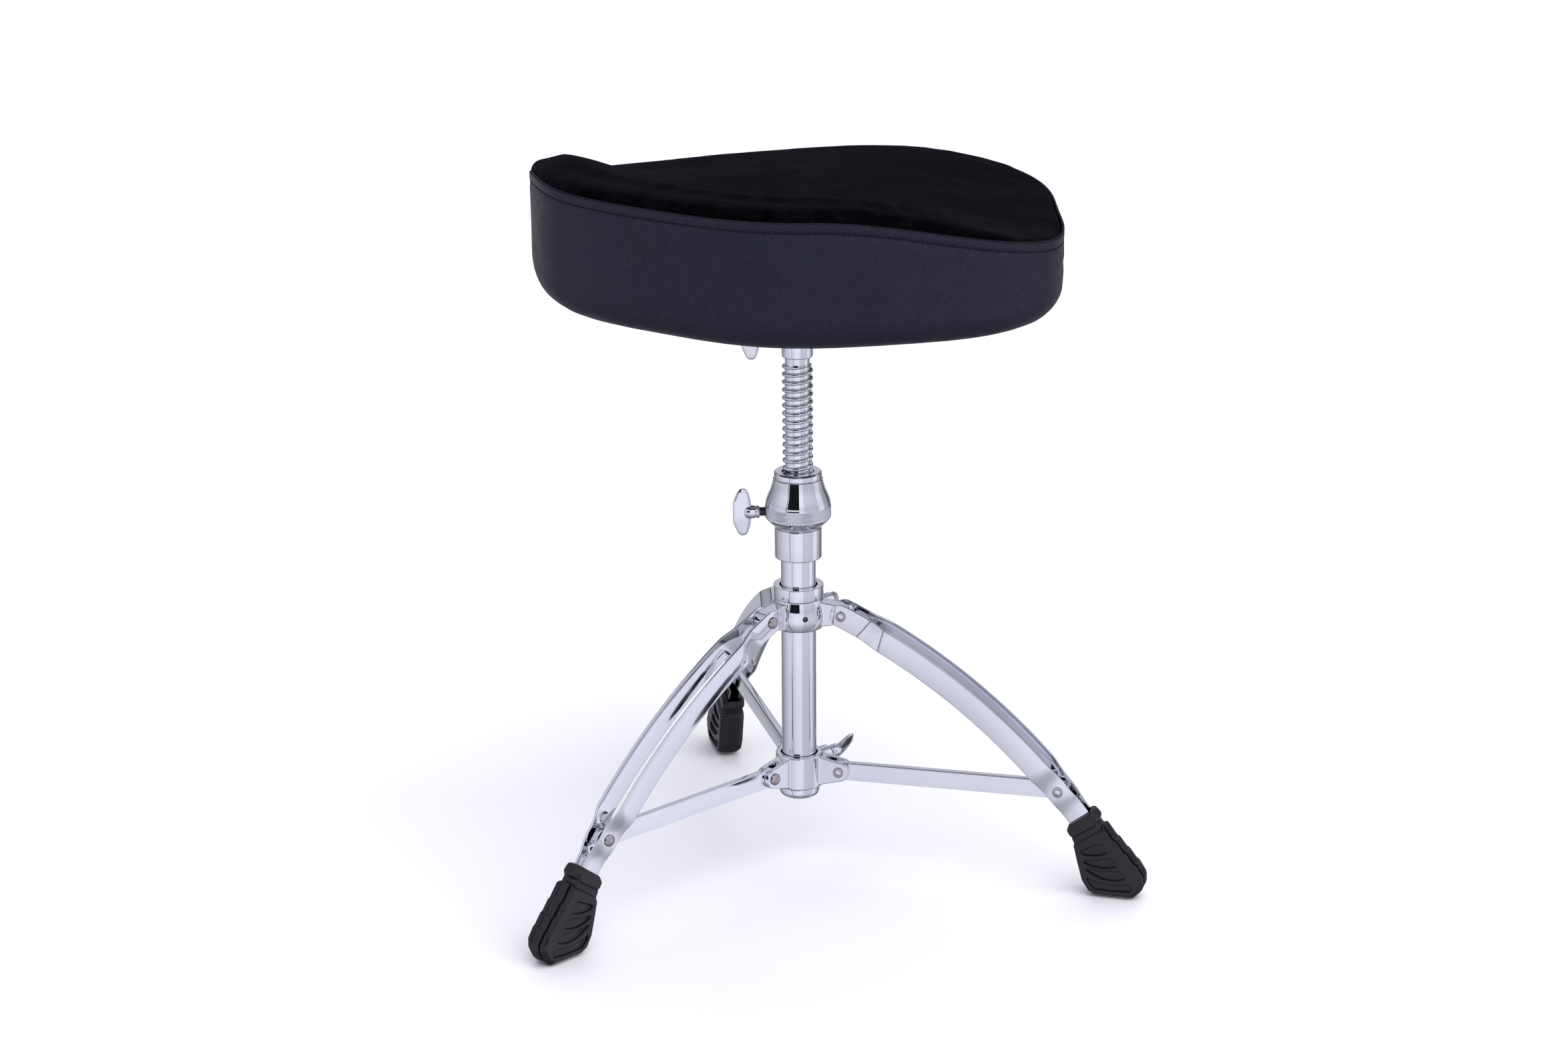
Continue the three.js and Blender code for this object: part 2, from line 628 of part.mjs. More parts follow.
function makeStrap(side) {
  const half = STRAP.height / 2;
  const roundEnd = [90, 65, 40, 20].map((degrees) => -half * sin(radians(degrees)));
  const straight = [0, 11, 22, 30, 38, 58, 78, 98, 118, 138, 158, 178, 193, 208, 214.5, 221, 236, 246, 265];
  const stations = [...roundEnd, ...straight, pivotSpan + STRAP.end];
  const outer = stations.map((along) => [along, strapSpread(along)]);
  const inner = outer.map(([along, spread]) => [along, spread - STRAP.thick]).reverse();
  const band = new THREE.ExtrudeGeometry(outline([...outer, ...inner]), { depth: 1, bevelEnabled: false });
  const at = band.getAttribute('position');
  for (let i = 0; i < at.count; i++) {
    const along = at.getX(i);
    const share = along < 0 ? sqrt(Math.max(0.02, 1 - (along / half) ** 2)) : 1;
    const [reach, height] = onArc(along, (2 * at.getZ(i) - 1) * half * share);
    at.setXYZ(i, reach, side * at.getY(i), height);
  }
  const reachOver = (pivot) => crossBar(HOLE, 20, pivot);
  return cut(band, reachOver(UPPER_PIVOT), reachOver(BRACE_PIVOT));
}

function makeRivet(pivot, half) {
  const { shank, head, headRise, tail, tailRise, socket } = RIVET;
  return turned(
    [
      [0, half + GAP + headRise],
      [head * 0.62, half + GAP + headRise * 0.8],
      [head, half + GAP + 0.3],
      [head, half + GAP],
      [shank, half + GAP],
      [shank, -half - GAP],
      [tail, -half - GAP],
      [tail - 0.4, -half - GAP - tailRise],
      [socket, -half - GAP - tailRise],
      [socket, -half + 1],
      [0, -half + 1],
    ],
    SMALL_ROUND,
  )
    .rotateX(-PI / 2)
    .translate(pivot.reach, 0, pivot.height);
}

// The brace pivot is open for the fold, so its rivet is a stub in each strap.
function makeStub(pivot, half, side, capRadius, capRise) {
  const inner = half - STRAP.thick;
  return turned(
    [
      [0, half + GAP + capRise],
      [capRadius * 0.62, half + GAP + capRise * 0.8],
      [capRadius, half + GAP + 0.3],
      [capRadius, half + GAP],
      [RIVET.shank, half + GAP],
      [RIVET.shank, inner],
      [0, inner],
    ],
    SMALL_ROUND,
  )
    .rotateX((-side * PI) / 2)
    .translate(pivot.reach, 0, pivot.height);
}

// A folded channel, open below, with round ends at its two pivots.
function makeBrace() {
  const { thick, height, wall } = BRACE;
  const half = height / 2;
  const rise = BRACE_PIVOT.height - LOWER_PIVOT.height;
  const length = Math.hypot(BRACE_PIVOT.reach - LOWER_PIVOT.reach, rise);
  const shape = new THREE.Shape();
  shape.absarc(0, 0, half, PI / 2, (3 * PI) / 2, false);
  shape.absarc(length, 0, half, -PI / 2, PI / 2, false);
  const bar = plate(shape, thick, 5);
  const hollow = box(length + 2 * height, thick - 2 * wall, height, length / 2, 0, -wall);
  const holes = [0, length].map((reach) => crossBar(HOLE, thick, { reach, height: 0 }));
  return cut(bar, hollow, ...holes)
    .rotateY(-Math.asin(rise / length))
    .translate(LOWER_PIVOT.reach, 0, LOWER_PIVOT.height);
}

// A moulded boot in the leg's plane: collar, neck, four tiers down the outer face, flat sole.
function makeFoot() {
  const side = [
    [229.5, 60.5],
    [226.5, 54],
    [231, 46.8],
    [234, 45],
    [233, 41.5],
    [236.5, 27],
    [240.5, 12],
    [246, 3],
    [252, 0],
    [284, 0],
    [290, 6],
    [293.5, 14],
    [293.3, 20],
    [287.2, 29.6],
    [285.4, 30.2],
    [278.6, 39.4],
    [276.6, 40.1],
    [269.6, 49.3],
    [267.6, 50],
    [258.6, 62.2],
    [254.8, 63.5],
    [253.6, 68.5],
    [248.4, 75],
  ];
  const layers = [[FOOT_LAYERS[0][0], 0], ...FOOT_LAYERS, [FOOT_LAYERS.at(-1)[0], 0]];
  const place = (u, v, target) => {
    const [reach, height] = side[Math.round(u * side.length) % side.length];
    const [across, share] = layers[Math.round(v * (layers.length - 1))];
    const x = FOOT_MIDDLE.reach + (reach - FOOT_MIDDLE.reach) * share;
    target.set(x, across, FOOT_MIDDLE.height + (height - FOOT_MIDDLE.height) * share);
  };
  const body = new ParametricGeometry(place, side.length, layers.length - 1);
  const end = pivotSpan + STRAP.end + GAP;
  const [lowX, lowZ] = onArc(end, 0);
  const [highX, highZ] = onArc(end - 30, 0);
  const slope = Math.atan2(lowZ - highZ, lowX - highX);
  const pocket = box(62, 11.8, STRAP.height + 2.6, -30, 0, 0)
    .rotateY(-slope)
    .translate(lowX, 0, lowZ);
  return cut(body, pocket);
}

function makeLeg(name, azimuth) {
  const leg = group(throne, azimuth);
  const strapFace = STRAP_SPREAD[0][1];
  add(leg, `${name}_leg_strap_a`, makeStrap(1), chrome);
  add(leg, `${name}_leg_strap_b`, makeStrap(-1), chrome);
  add(leg, `${name}_foot`, makeFoot(), rubber);
  add(leg, `${name}_upper_rivet`, makeRivet(UPPER_PIVOT, strapFace), rivetSteel);
  add(leg, `${name}_brace`, makeBrace(), chrome);
  add(leg, `${name}_lower_rivet`, makeRivet(LOWER_PIVOT, FORK_HALF), rivetSteel);
  const stub = (side, radius, rise) => makeStub(BRACE_PIVOT, strapFace, side, radius, rise);
  add(leg, `${name}_brace_rivet_head`, stub(1, RIVET.head, RIVET.headRise), rivetSteel);
  add(leg, `${name}_brace_rivet_tail`, stub(-1, RIVET.tail, RIVET.tailRise), rivetSteel);
}

// ---- assembly -----------------------------------------------------------------------------
makeSeat(group(throne));
makeColumn(group(throne));
makeHubs(group(throne));
for (const [name, azimuth] of Object.entries(LEG_AZIMUTHS)) makeLeg(name, azimuth);

const extent = new THREE.Box3().setFromObject(throne, true);
const middle = extent.getCenter(new THREE.Vector3());
throne.position.set(-middle.x, -middle.y, -extent.min.z);

export default throne;
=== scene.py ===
"""Drum throne: velour saddle seat on a threaded rod, over a folding chromed tripod with rubber feet.

Shapes are in millimetres from the column's axis on the floor. COLUMN turns them into the frame's
metres, and turned_place(azimuth) does the same for shapes drawn in a leg's own plane.
"""
import json
from math import acos, asin, atan2, cos, degrees, exp, floor, hypot, pi, radians, sin, sqrt, tan

import bmesh
import bpy
from mathutils import Matrix, Vector, noise


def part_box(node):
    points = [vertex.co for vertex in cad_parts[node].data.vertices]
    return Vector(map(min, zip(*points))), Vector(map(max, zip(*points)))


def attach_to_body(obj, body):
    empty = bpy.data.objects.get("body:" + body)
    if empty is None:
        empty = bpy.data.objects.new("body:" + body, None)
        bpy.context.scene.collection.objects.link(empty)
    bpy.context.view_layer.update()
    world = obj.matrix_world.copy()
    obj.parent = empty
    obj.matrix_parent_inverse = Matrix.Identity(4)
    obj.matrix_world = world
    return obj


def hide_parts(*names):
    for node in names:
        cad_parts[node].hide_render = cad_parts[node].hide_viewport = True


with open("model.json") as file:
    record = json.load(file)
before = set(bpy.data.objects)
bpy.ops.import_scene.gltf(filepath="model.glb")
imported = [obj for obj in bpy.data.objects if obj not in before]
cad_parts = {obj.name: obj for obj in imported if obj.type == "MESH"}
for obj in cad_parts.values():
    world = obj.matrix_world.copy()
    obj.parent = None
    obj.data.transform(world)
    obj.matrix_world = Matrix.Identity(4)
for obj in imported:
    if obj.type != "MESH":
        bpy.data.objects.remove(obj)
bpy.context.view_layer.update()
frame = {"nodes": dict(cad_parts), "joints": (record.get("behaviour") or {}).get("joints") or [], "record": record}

# ---- the frame's places ---------------------------------------------------------------------
MM = 0.001
BODY_OF = {node: body for body, nodes in frame["record"]["behaviour"]["bodies"].items() for node in nodes}
SLOT_OF = {part["node"]: part["material_slot"] for part in frame["record"]["subparts"]}
JOINT = {joint["name"]: joint for joint in frame["joints"]}
LEG_AZIMUTHS = {"rear": 90, "right": -150, "left": -30}
FRONT = -90  # azimuth of the clamp bolt and of the tripod's wing screw

tube_low, tube_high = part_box("base_tube")
AXIS = Vector(((tube_low.x + tube_high.x) / 2, (tube_low.y + tube_high.y) / 2, 0))
COLUMN = Matrix.Translation(AXIS) @ Matrix.Scale(MM, 4)
ALONG_X = Matrix.Rotation(radians(90), 4, "Y")  # turns +Z to +X
ALONG_Y = Matrix.Rotation(radians(-90), 4, "X")  # turns +Z to +Y


def turned_place(azimuth):
    return COLUMN @ Matrix.Rotation(radians(azimuth), 4, "Z")


def outward(azimuth, height):
    """A place on the column's axis at a height, with +Z pointing away from the axis."""
    return turned_place(azimuth) @ Matrix.Translation((0, 0, height)) @ ALONG_X


def joint_height(joint):
    return (Vector(JOINT[joint]["pos_m"]) / MM).z


def screw_azimuth(joint):
    axis = JOINT[joint]["axis"]
    return degrees(atan2(axis[1], axis[0]))


def box_mm(node):
    """Lowest and highest corner of a CAD node, in millimetres from the column's axis."""
    low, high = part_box(node)
    return (low - AXIS) / MM, (high - AXIS) / MM


def in_rear_plane(point):
    """Reach and height of a point in the rear leg's plane."""
    place = (Vector(point) - AXIS) / MM
    return place.y, place.z


UPPER_PIVOT = in_rear_plane(JOINT["rear_leg_fold"]["pos_m"])
LOWER_PIVOT = in_rear_plane(JOINT["rear_brace_fold"]["pos_m"])
BRACE_PIVOT = in_rear_plane(sum(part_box("rear_brace_rivet_head"), Vector()) / 2)
TUBE_RADIUS = (tube_high.x - tube_low.x) / 2 / MM

# ---- material nodes -------------------------------------------------------------------------
MATERIALS = {}


def color_ramp(nodes, links, value, stops):
    """The colour at a value, from stops of (place, red, green, blue)."""
    node = nodes.new("ShaderNodeValToRGB")
    ramp = node.color_ramp.elements
    while len(ramp) < len(stops):
        ramp.new(0.5)
    for element, (place, *color) in zip(ramp, stops):
        element.position = place
        element.color = (*color, 1)
    links.new(value, node.inputs["Fac"])
    return node.outputs["Color"]


class Look:
    """A procedural material on one Principled shader. Textures are laid in the object's own space."""

    def __init__(self, name, color, roughness, metallic=0.0, **sockets):
        self.material = bpy.data.materials.new(name)
        self.material.use_nodes = True
        self.nodes, self.links = self.material.node_tree.nodes, self.material.node_tree.links
        self.shader = self.nodes["Principled BSDF"]
        self.space = self.nodes.new("ShaderNodeTexCoord").outputs["Object"]
        self.set(self.shader, **{"Base Color": (*color, 1), "Roughness": roughness, "Metallic": metallic})
        self.set(self.shader, **sockets)
        MATERIALS[name] = self.material

    def set(self, node, **values):
        for name, value in values.items():
            node.inputs[name].default_value = value

    def stretched(self, x, y, z):
        """The object's space, scaled apart along its axes."""
        node = self.nodes.new("ShaderNodeMapping")
        self.set(node, Scale=(x, y, z))
        self.links.new(self.space, node.inputs["Vector"])
        return node.outputs["Vector"]

    def noise(self, scale, detail=3.0, roughness=0.5, space=None):
        node = self.nodes.new("ShaderNodeTexNoise")
        self.set(node, Scale=scale, Detail=detail, Roughness=roughness)
        self.links.new(space or self.space, node.inputs["Vector"])
        return node.outputs["Fac"]

    def cells(self, scale, feature="DISTANCE_TO_EDGE"):
        node = self.nodes.new("ShaderNodeTexVoronoi")
        node.feature = feature
        self.set(node, Scale=scale)
        self.links.new(self.space, node.inputs["Vector"])
        return node.outputs["Distance"]

    def waves(self, scale, direction):
        node = self.nodes.new("ShaderNodeTexWave")
        node.bands_direction = direction
        self.set(node, Scale=scale)
        self.links.new(self.space, node.inputs["Vector"])
        return node.outputs["Fac"]

    def spread(self, value, low, high, to_low, to_high):
        """A value mapped from one range to another, and held inside it."""
        node = self.nodes.new("ShaderNodeMapRange")
        self.set(node, **{"From Min": low, "From Max": high, "To Min": to_low, "To Max": to_high})
        self.links.new(value, node.inputs["Value"])
        return node.outputs["Result"]

    def add(self, first, second, operation="ADD"):
        node = self.nodes.new("ShaderNodeMath")
        node.operation = operation
        self.links.new(first, node.inputs[0])
        self.links.new(second, node.inputs[1])
        return node.outputs["Value"]

    def colors(self, value, *stops):
        """A colour along a value, from stops of (place, red, green, blue)."""
        color = color_ramp(self.nodes, self.links, value, stops)
        self.links.new(color, self.shader.inputs["Base Color"])

    def roughness(self, value):
        self.links.new(value, self.shader.inputs["Roughness"])

    def bump(self, height, distance, strength=1.0):
        node = self.nodes.new("ShaderNodeBump")
        self.set(node, Distance=distance, Strength=strength)
        self.links.new(height, node.inputs["Height"])
        before = self.shader.inputs["Normal"]
        if before.is_linked:
            self.links.new(before.links[0].from_socket, node.inputs["Normal"])
        self.links.new(node.outputs["Normal"], before)


def make_chrome():
    look = Look("chrome", (0.83, 0.84, 0.88), 0.05, 1.0)
    smudges = look.noise(38, 5)
    look.roughness(look.spread(smudges, 0.42, 0.75, 0.03, 0.11))
    look.colors(look.noise(9, 2), (0.3, 0.80, 0.81, 0.86), (0.7, 0.87, 0.88, 0.91))
    look.bump(look.noise(160, 2), 0.00002, 0.35)


def make_dark_steel():
    look = Look("dark_steel", (0.12, 0.12, 0.125), 0.35, 1.0)
    look.colors(look.noise(260, 4), (0.35, 0.075, 0.075, 0.08), (0.7, 0.17, 0.17, 0.175))
    look.roughness(look.spread(look.noise(420), 0.3, 0.7, 0.28, 0.5))
    look.bump(look.noise(900, 3), 0.00003, 0.5)


def make_rivet_steel():
    look = Look("rivet_steel", (0.56, 0.52, 0.52), 0.28, 1.0)
    look.colors(look.noise(300, 4), (0.35, 0.47, 0.43, 0.43), (0.65, 0.63, 0.585, 0.58))
    look.roughness(look.spread(look.noise(520, 4), 0.3, 0.7, 0.2, 0.38))
    look.bump(look.noise(1400, 3), 0.00002, 0.6)


def make_rubber():
    look = Look("rubber", (0.004, 0.004, 0.006), 0.3, **{"Specular IOR Level": 0.5})
    look.colors(look.noise(70, 5), (0.35, 0.0028, 0.0028, 0.0042), (0.7, 0.0062, 0.0062, 0.009))
    look.roughness(look.spread(look.noise(140, 4), 0.3, 0.7, 0.2, 0.36))
    look.bump(look.noise(1500, 3), 0.00005, 0.45)
    look.bump(look.noise(220, 2), 0.0001, 0.3)


def make_vinyl():
    """Fine leather grain: small rounded cells between creases, over a softer crumple."""
    gloss = {"Specular IOR Level": 0.6, "Specular Tint": (0.76, 0.76, 1, 1)}
    look = Look("vinyl", (0.004, 0.004, 0.011), 0.38, **gloss)
    uneven = look.noise(24, 5, 0.6)
    look.colors(uneven, (0.3, 0.0025, 0.0025, 0.008), (0.7, 0.0055, 0.0055, 0.014))
    grain = look.spread(look.cells(520), 0.0, 0.22, 0.0, 1.0)
    coarse = look.noise(260, 4, 0.6)
    look.roughness(look.spread(look.add(coarse, uneven, "MULTIPLY"), 0.12, 0.4, 0.34, 0.5))
    look.bump(coarse, 0.0006, 0.7)
    look.bump(grain, 0.0004, 0.7)


def make_velour():
    """Deep black pile: fine fibres, and patches where the nap lies the other way, painted lighter in the base
    colour as sheen.
    """
    sheen = {"Sheen Weight": 0.035, "Sheen Roughness": 0.3, "Sheen Tint": (0.62, 0.66, 0.85, 1)}
    look = Look("velour", (0.0008, 0.0008, 0.0012), 0.95, **{"Specular IOR Level": 0.02}, **sheen)
    nap = look.noise(34, 6, 0.65)
    pile = look.noise(1700, 4, 0.7)
    nap_sheen_patches = look.add(nap, pile, "MULTIPLY")
    # painted sheen: the base colour is lighter in the nap patches, standing in for light caught by the pile, over
    # a real fine fibre tone
    look.colors(nap_sheen_patches, (0.2, 0.0004, 0.0004, 0.0007), (0.4, 0.0042, 0.0042, 0.0062))
    look.bump(pile, 0.0006, 0.8)
    look.bump(nap, 0.0012, 0.35)


def make_stitch_thread():
    look = Look("stitch_thread", (0.003, 0.003, 0.005), 0.6, **{"Specular IOR Level": 0.25})
    look.colors(look.noise(2200, 2), (0.3, 0.0015, 0.0015, 0.003), (0.7, 0.006, 0.006, 0.009))
    look.bump(look.waves(1400, "DIAGONAL"), 0.0001, 0.6)


def make_nylon():
    look = Look("nylon", (0.02, 0.02, 0.022), 0.42)
    look.colors(look.noise(120, 4), (0.3, 0.016, 0.016, 0.018), (0.7, 0.027, 0.027, 0.03))
    look.bump(look.noise(700, 2), 0.00004, 0.4)


def make_foam():
    look = Look("foam", (0.66, 0.58, 0.3), 0.95)
    look.colors(look.noise(420, 4), (0.3, 0.54, 0.45, 0.2), (0.7, 0.74, 0.67, 0.38))
    look.bump(look.cells(700, "F1"), 0.0005, 0.7)


def make_plywood():
    look = Look("plywood", (0.45, 0.28, 0.12), 0.65)
    grain = look.noise(40, 6, 0.6, look.stretched(1, 14, 30))
    look.colors(grain, (0.3, 0.33, 0.19, 0.075), (0.7, 0.55, 0.37, 0.18))
    look.bump(grain, 0.0003, 0.4)


def make_dust_cloth():
    """Non-woven cloth, point-bonded in a small square pattern."""
    look = Look("dust_cloth", (0.012, 0.012, 0.014), 0.9, **{"Sheen Weight": 0.15})
    look.colors(look.noise(900, 5), (0.3, 0.007, 0.007, 0.008), (0.7, 0.022, 0.022, 0.025))
    look.bump(look.add(look.waves(300, "X"), look.waves(300, "Y"), "MULTIPLY"), 0.0003, 0.6)


def make_studio_floor():
    look = Look("studio_floor", (0.88, 0.88, 0.89), 0.6, **{"Specular IOR Level": 0.1})
    look.roughness(look.spread(look.noise(3), 0.3, 0.7, 0.55, 0.65))


for make_look in (make_chrome, make_dark_steel, make_rivet_steel, make_rubber, make_vinyl, make_velour,
                  make_stitch_thread, make_nylon, make_foam, make_plywood, make_dust_cloth,
                  make_studio_floor):
    make_look()

for node_name, cad_object in frame["nodes"].items():
    for material_slot in cad_object.material_slots:
        material_slot.material = MATERIALS[SLOT_OF[node_name]]

# ---- mesh helpers ---------------------------------------------------------------------------
ROUND = 128
SMALL_ROUND = 40
SHARP = radians(38)


def smoothstep(value, low, high):
    share = min(max((value - low) / (high - low), 0.0), 1.0)
    return share * share * (3 - 2 * share)


def mix(first, second, share):
    return first + (second - first) * share


def show(name, data):
    piece = bpy.data.objects.new(name, data)
    bpy.context.scene.collection.objects.link(piece)
    return piece


def build(name, corners, faces, place=COLUMN, sharp=SHARP):
    """An object from millimetre corners and faces, closed, facing out and smooth-shaded."""
    mesh = bpy.data.meshes.new(name)
    mesh.from_pydata([tuple(corner) for corner in corners], [], faces)
    form = bmesh.new()
    form.from_mesh(mesh)
    bmesh.ops.remove_doubles(form, verts=form.verts, dist=1e-4)
    bmesh.ops.recalc_face_normals(form, faces=form.faces)
    bmesh.ops.transform(form, matrix=place, verts=form.verts)
    form.to_mesh(mesh)
    form.free()
    polish(mesh, sharp)
    return show(name, mesh)


def polish(mesh, sharp=SHARP):
    mesh.shade_smooth()
    if sharp:
        mesh.set_sharp_from_angle(angle=sharp)


def bake(piece):
    """Applies a piece's modifiers to its mesh."""
    graph = bpy.context.evaluated_depsgraph_get()
    mesh = bpy.data.meshes.new_from_object(piece.evaluated_get(graph))
    piece.modifiers.clear()
    piece.data = mesh


def dispose(*pieces):
    for piece in pieces:
        bpy.data.objects.remove(piece)


def attach(piece, body, slot, material=None):
    """Gives a finished piece its material, by its slot unless another is named, and the body that it rides on."""
    piece.data.materials.clear()
    piece.data.materials.append(MATERIALS[material or slot])
    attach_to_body(piece, body)
    return piece


def install(piece, *nodes):
    """Puts a finished piece in the place of CAD nodes, on their body."""
    attach(piece, BODY_OF[nodes[0]], SLOT_OF[nodes[0]])
    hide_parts(*nodes)
    return piece


def fillet(points, radius, steps=4, loop=True):
    """A polygon with each corner eased into a curve of about this radius."""
    made = []
    for i, corner in enumerate(points):
        here = Vector(corner)
        before = Vector(points[i - 1]) - here
        after = Vector(points[(i + 1) % len(points)]) - here
        ends = not loop and i in (0, len(points) - 1)
        if ends or min(before.length, after.length) < 1e-6 or before.angle(after) > radians(177):
            made.append(tuple(here))
            continue
        reach = min(radius / tan(before.angle(after) / 2), 0.46 * before.length, 0.46 * after.length)
        start = here + before.normalized() * reach
        end = here + after.normalized() * reach
        for k in range(steps + 1):
            t = k / steps
            made.append(tuple(start * (1 - t) ** 2 + here * 2 * t * (1 - t) + end * t * t))
    return made


def curved(points, steps=5):
    """A smooth curve through points."""
    made = []
    for k in range(len(points) - 1):
        run = [Vector(points[min(max(k + j, 0), len(points) - 1)]) for j in (-1, 0, 1, 2)]
        for n in range(steps):
            t = n / steps
            made.append(tuple(0.5 * (2 * run[1] + (run[2] - run[0]) * t
                                     + (2 * run[0] - 5 * run[1] + 4 * run[2] - run[3]) * t ** 2
                                     + (3 * run[1] - run[0] - 3 * run[2] + run[3]) * t ** 3)))
    return made + [tuple(points[-1])]


def skin(rows, wrap):
    """Faces between neighbouring rings of corners. wrap joins the last ring to the first."""
    faces = []
    for i in range(len(rows) if wrap else len(rows) - 1):
        low, high = rows[i], rows[(i + 1) % len(rows)]
        for k in range(max(len(low), len(high))):
            ahead = k + 1
            corners = [low[k % len(low)], low[ahead % len(low)]]
            corners += [high[ahead % len(high)], high[k % len(high)]]
            face = list(dict.fromkeys(corners))
            if len(face) > 2:
                faces.append(face)
    return faces


def capsule(corners, stations, sides=6):
    """Adds a closed bar of rings to corners, and gives its faces. A station is (centre, side, up)."""
    rings = []
    for centre, side, up in stations:
        rings.append(list(range(len(corners), len(corners) + sides)))
        for k in range(sides):
            angle = 2 * pi * k / sides
            corners.append(centre + side * cos(angle) + up * sin(angle))
    return skin(rings, False) + [rings[0][::-1], rings[-1]]


def rows_of(layers):
    """Corners and faces of a solid through layers that all have the same number of points."""
    count = len(layers[0])
    rows = [list(range(k * count, (k + 1) * count)) for k in range(len(layers))]
    corners = [point for layer in layers for point in layer]
    return corners, skin(rows, False) + [rows[0][::-1], rows[-1]]


def lathe(name, profile, place=COLUMN, segments=ROUND, wall=None):
    """A turned part about Z. The profile starts and ends on the axis, or is a closed loop.

    wall(angle, radius, height) gives a radius that varies round the part, such as a knurl's.
    """
    corners, rows = [], []
    for radius, height in profile:
        if radius < 1e-6:
            rows.append([len(corners)])
            corners.append((0, 0, height))
            continue
        rows.append(list(range(len(corners), len(corners) + segments)))
        for k in range(segments):
            angle = 2 * pi * k / segments
            reach = wall(angle, radius, height) if wall else radius
            corners.append((reach * cos(angle), reach * sin(angle), height))
    on_axis = len(rows[0]) == 1
    return build(name, corners, skin(rows, not on_axis), place)


def plug(points, radius, steps=4):
    """An open profile, such as one from axis to axis, with its corners eased."""
    return fillet(points, radius, steps, loop=False)


def prism(name, outline, half_low, half_high, place):
    """An outline of (x, z) points, extruded along Y between two places."""
    return build(name, *rows_of([[(x, y, z) for x, z in outline] for y in (half_low, half_high)]), place)


def bar(name, radius, low, high, place, segments=SMALL_ROUND):
    return lathe(name, plug([(0, low), (radius, low), (radius, high), (0, high)], 0.6, 3), place, segments)


def cast(name, parts, cutters, voxel, passes):
    """One cast body: parts are joined, cut, and their edges softened as a casting's are."""
    first = parts[0]
    for operation, others in (("UNION", parts[1:]), ("DIFFERENCE", cutters)):
        for other in others:
            step = first.modifiers.new(operation, "BOOLEAN")
            step.operation, step.object, step.solver = operation, other, "EXACT"
    bake(first)
    remesh = first.modifiers.new("remesh", "REMESH")
    remesh.mode, remesh.voxel_size, remesh.adaptivity = "VOXEL", voxel * MM, 0
    soften = first.modifiers.new("soften", "SMOOTH")
    soften.factor, soften.iterations = 0.5, passes
    bake(first)
    dispose(*parts[1:], *cutters)
    polish(first.data, None)
    first.name = name
    return first


def thread(name, place, root, crest, pitch, low, high, share, sides, per_turn):
    """A right-hand thread with rounded ridges, as one skin. share is a ridge's part of the pitch."""
    turns = int((high - low) / pitch) + 2
    count = turns * per_turn

    def ridge(part):
        across = (part - 0.75) / (share / 2)
        return mix(root, crest, max(0.0, 1 - across * across) ** 0.55)

    corners = []
    for side in range(sides):
        angle = 2 * pi * side / sides
        for k in range(count + per_turn):
            climb = k / per_turn - 1 + side / sides
            height = min(max(low + pitch * climb, low), high)
            reach = root if height in (low, high) else ridge(k % per_turn / per_turn)
            corners.append((reach * cos(angle), reach * sin(angle), height))
    stride = count + per_turn

    def at(side, k):
        return side % sides * stride + (k if side < sides else k + per_turn)

    faces = [[at(s, k), at(s + 1, k), at(s + 1, k + 1), at(s, k + 1)]
             for s in range(sides) for k in range(count - 1)]
    ends = [len(corners), len(corners) + 1]
    corners += [(0, 0, low), (0, 0, high)]
    for s in range(sides):
        faces.append([ends[0], at(s + 1, 0), at(s, 0)])
        faces.append([ends[1], at(s, count - 1), at(s + 1, count - 1)])
    return build(name, corners, faces, place)


def joined(name, *pieces):
    """Pieces put together as one object."""
    form = bmesh.new()
    for piece in pieces:
        form.from_mesh(piece.data)
    mesh = bpy.data.meshes.new(name)
    form.to_mesh(mesh)
    form.free()
    dispose(*pieces)
    polish(mesh)
    return show(name, mesh)


# ---- seat outline ---------------------------------------------------------------------------
SEAT_CENTRE = 572  # height of the top at the middle of the dish
SEAT_FLOOR = 495.6
SKIRT_ROUND = 22
SEAT_TURN = 10  # of the seat on the column, as it had swivelled
REACH_TERMS = [213.1, -6.6, -8.3, -5.7, 4.9, 0.4, -4.4]  # of the cosines of 0, b, 2b and so on
SEAM_AT_BACK, SEAM_FALL, SEAM_NOSE_RISE = 595.5, 36, 7
RIM_AT_BACK, RIM_FALL, RIM_NOSE_RISE = 13.5, 11, 3  # of the rim above the seam
RIM = 0.89  # share of the way out at which the rim is highest
STITCH_DROP = 7.6  # of the stitches below the seam


def from_back(azimuth):
    """Angle from the back of the seat, 0 at the back and pi at the nose."""
    return acos(min(max(sin(azimuth - radians(SEAT_TURN)), -1.0), 1.0))


def seat_reach(azimuth):
    b = from_back(azimuth)
    return sum(term * cos(k * b) for k, term in enumerate(REACH_TERMS))


def seam_height(azimuth):
    b = degrees(from_back(azimuth))
    return SEAM_AT_BACK - SEAM_FALL * smoothstep(b, 38, 104) + SEAM_NOSE_RISE * smoothstep(b, 135, 180)


def rim_rise(azimuth):
    b = degrees(from_back(azimuth))
    return RIM_AT_BACK - RIM_FALL * smoothstep(b, 64, 94) + RIM_NOSE_RISE * smoothstep(b, 100, 135)


def top_height(azimuth, share):
    """Height of the seat's top at a share of the way out to the seam."""
    seam, rise = seam_height(azimuth), rim_rise(azimuth)
    if share > RIM:
        return seam + rise * sqrt(max(0.0, 1 - ((share - RIM) / (1 - RIM)) ** 2))
    return mix(SEAT_CENTRE, seam + rise, smoothstep(share, 0.35, RIM))


def polar(azimuth, reach, height):
    return (reach * cos(azimuth), reach * sin(azimuth), height)


def seat_rows(profile, facets):
    """Rings of corners round the seat. Each profile entry gives (reach, height) at an azimuth."""
    corners, rows = [], []
    for place in profile:
        if place(0)[0] < 1e-6:
            rows.append([len(corners)])
            corners.append((0, 0, place(0)[1]))
            continue
        rows.append(list(range(len(corners), len(corners) + facets)))
        for k in range(facets):
            azimuth = 2 * pi * k / facets
            corners.append(polar(azimuth, *place(azimuth)))
    return corners, rows


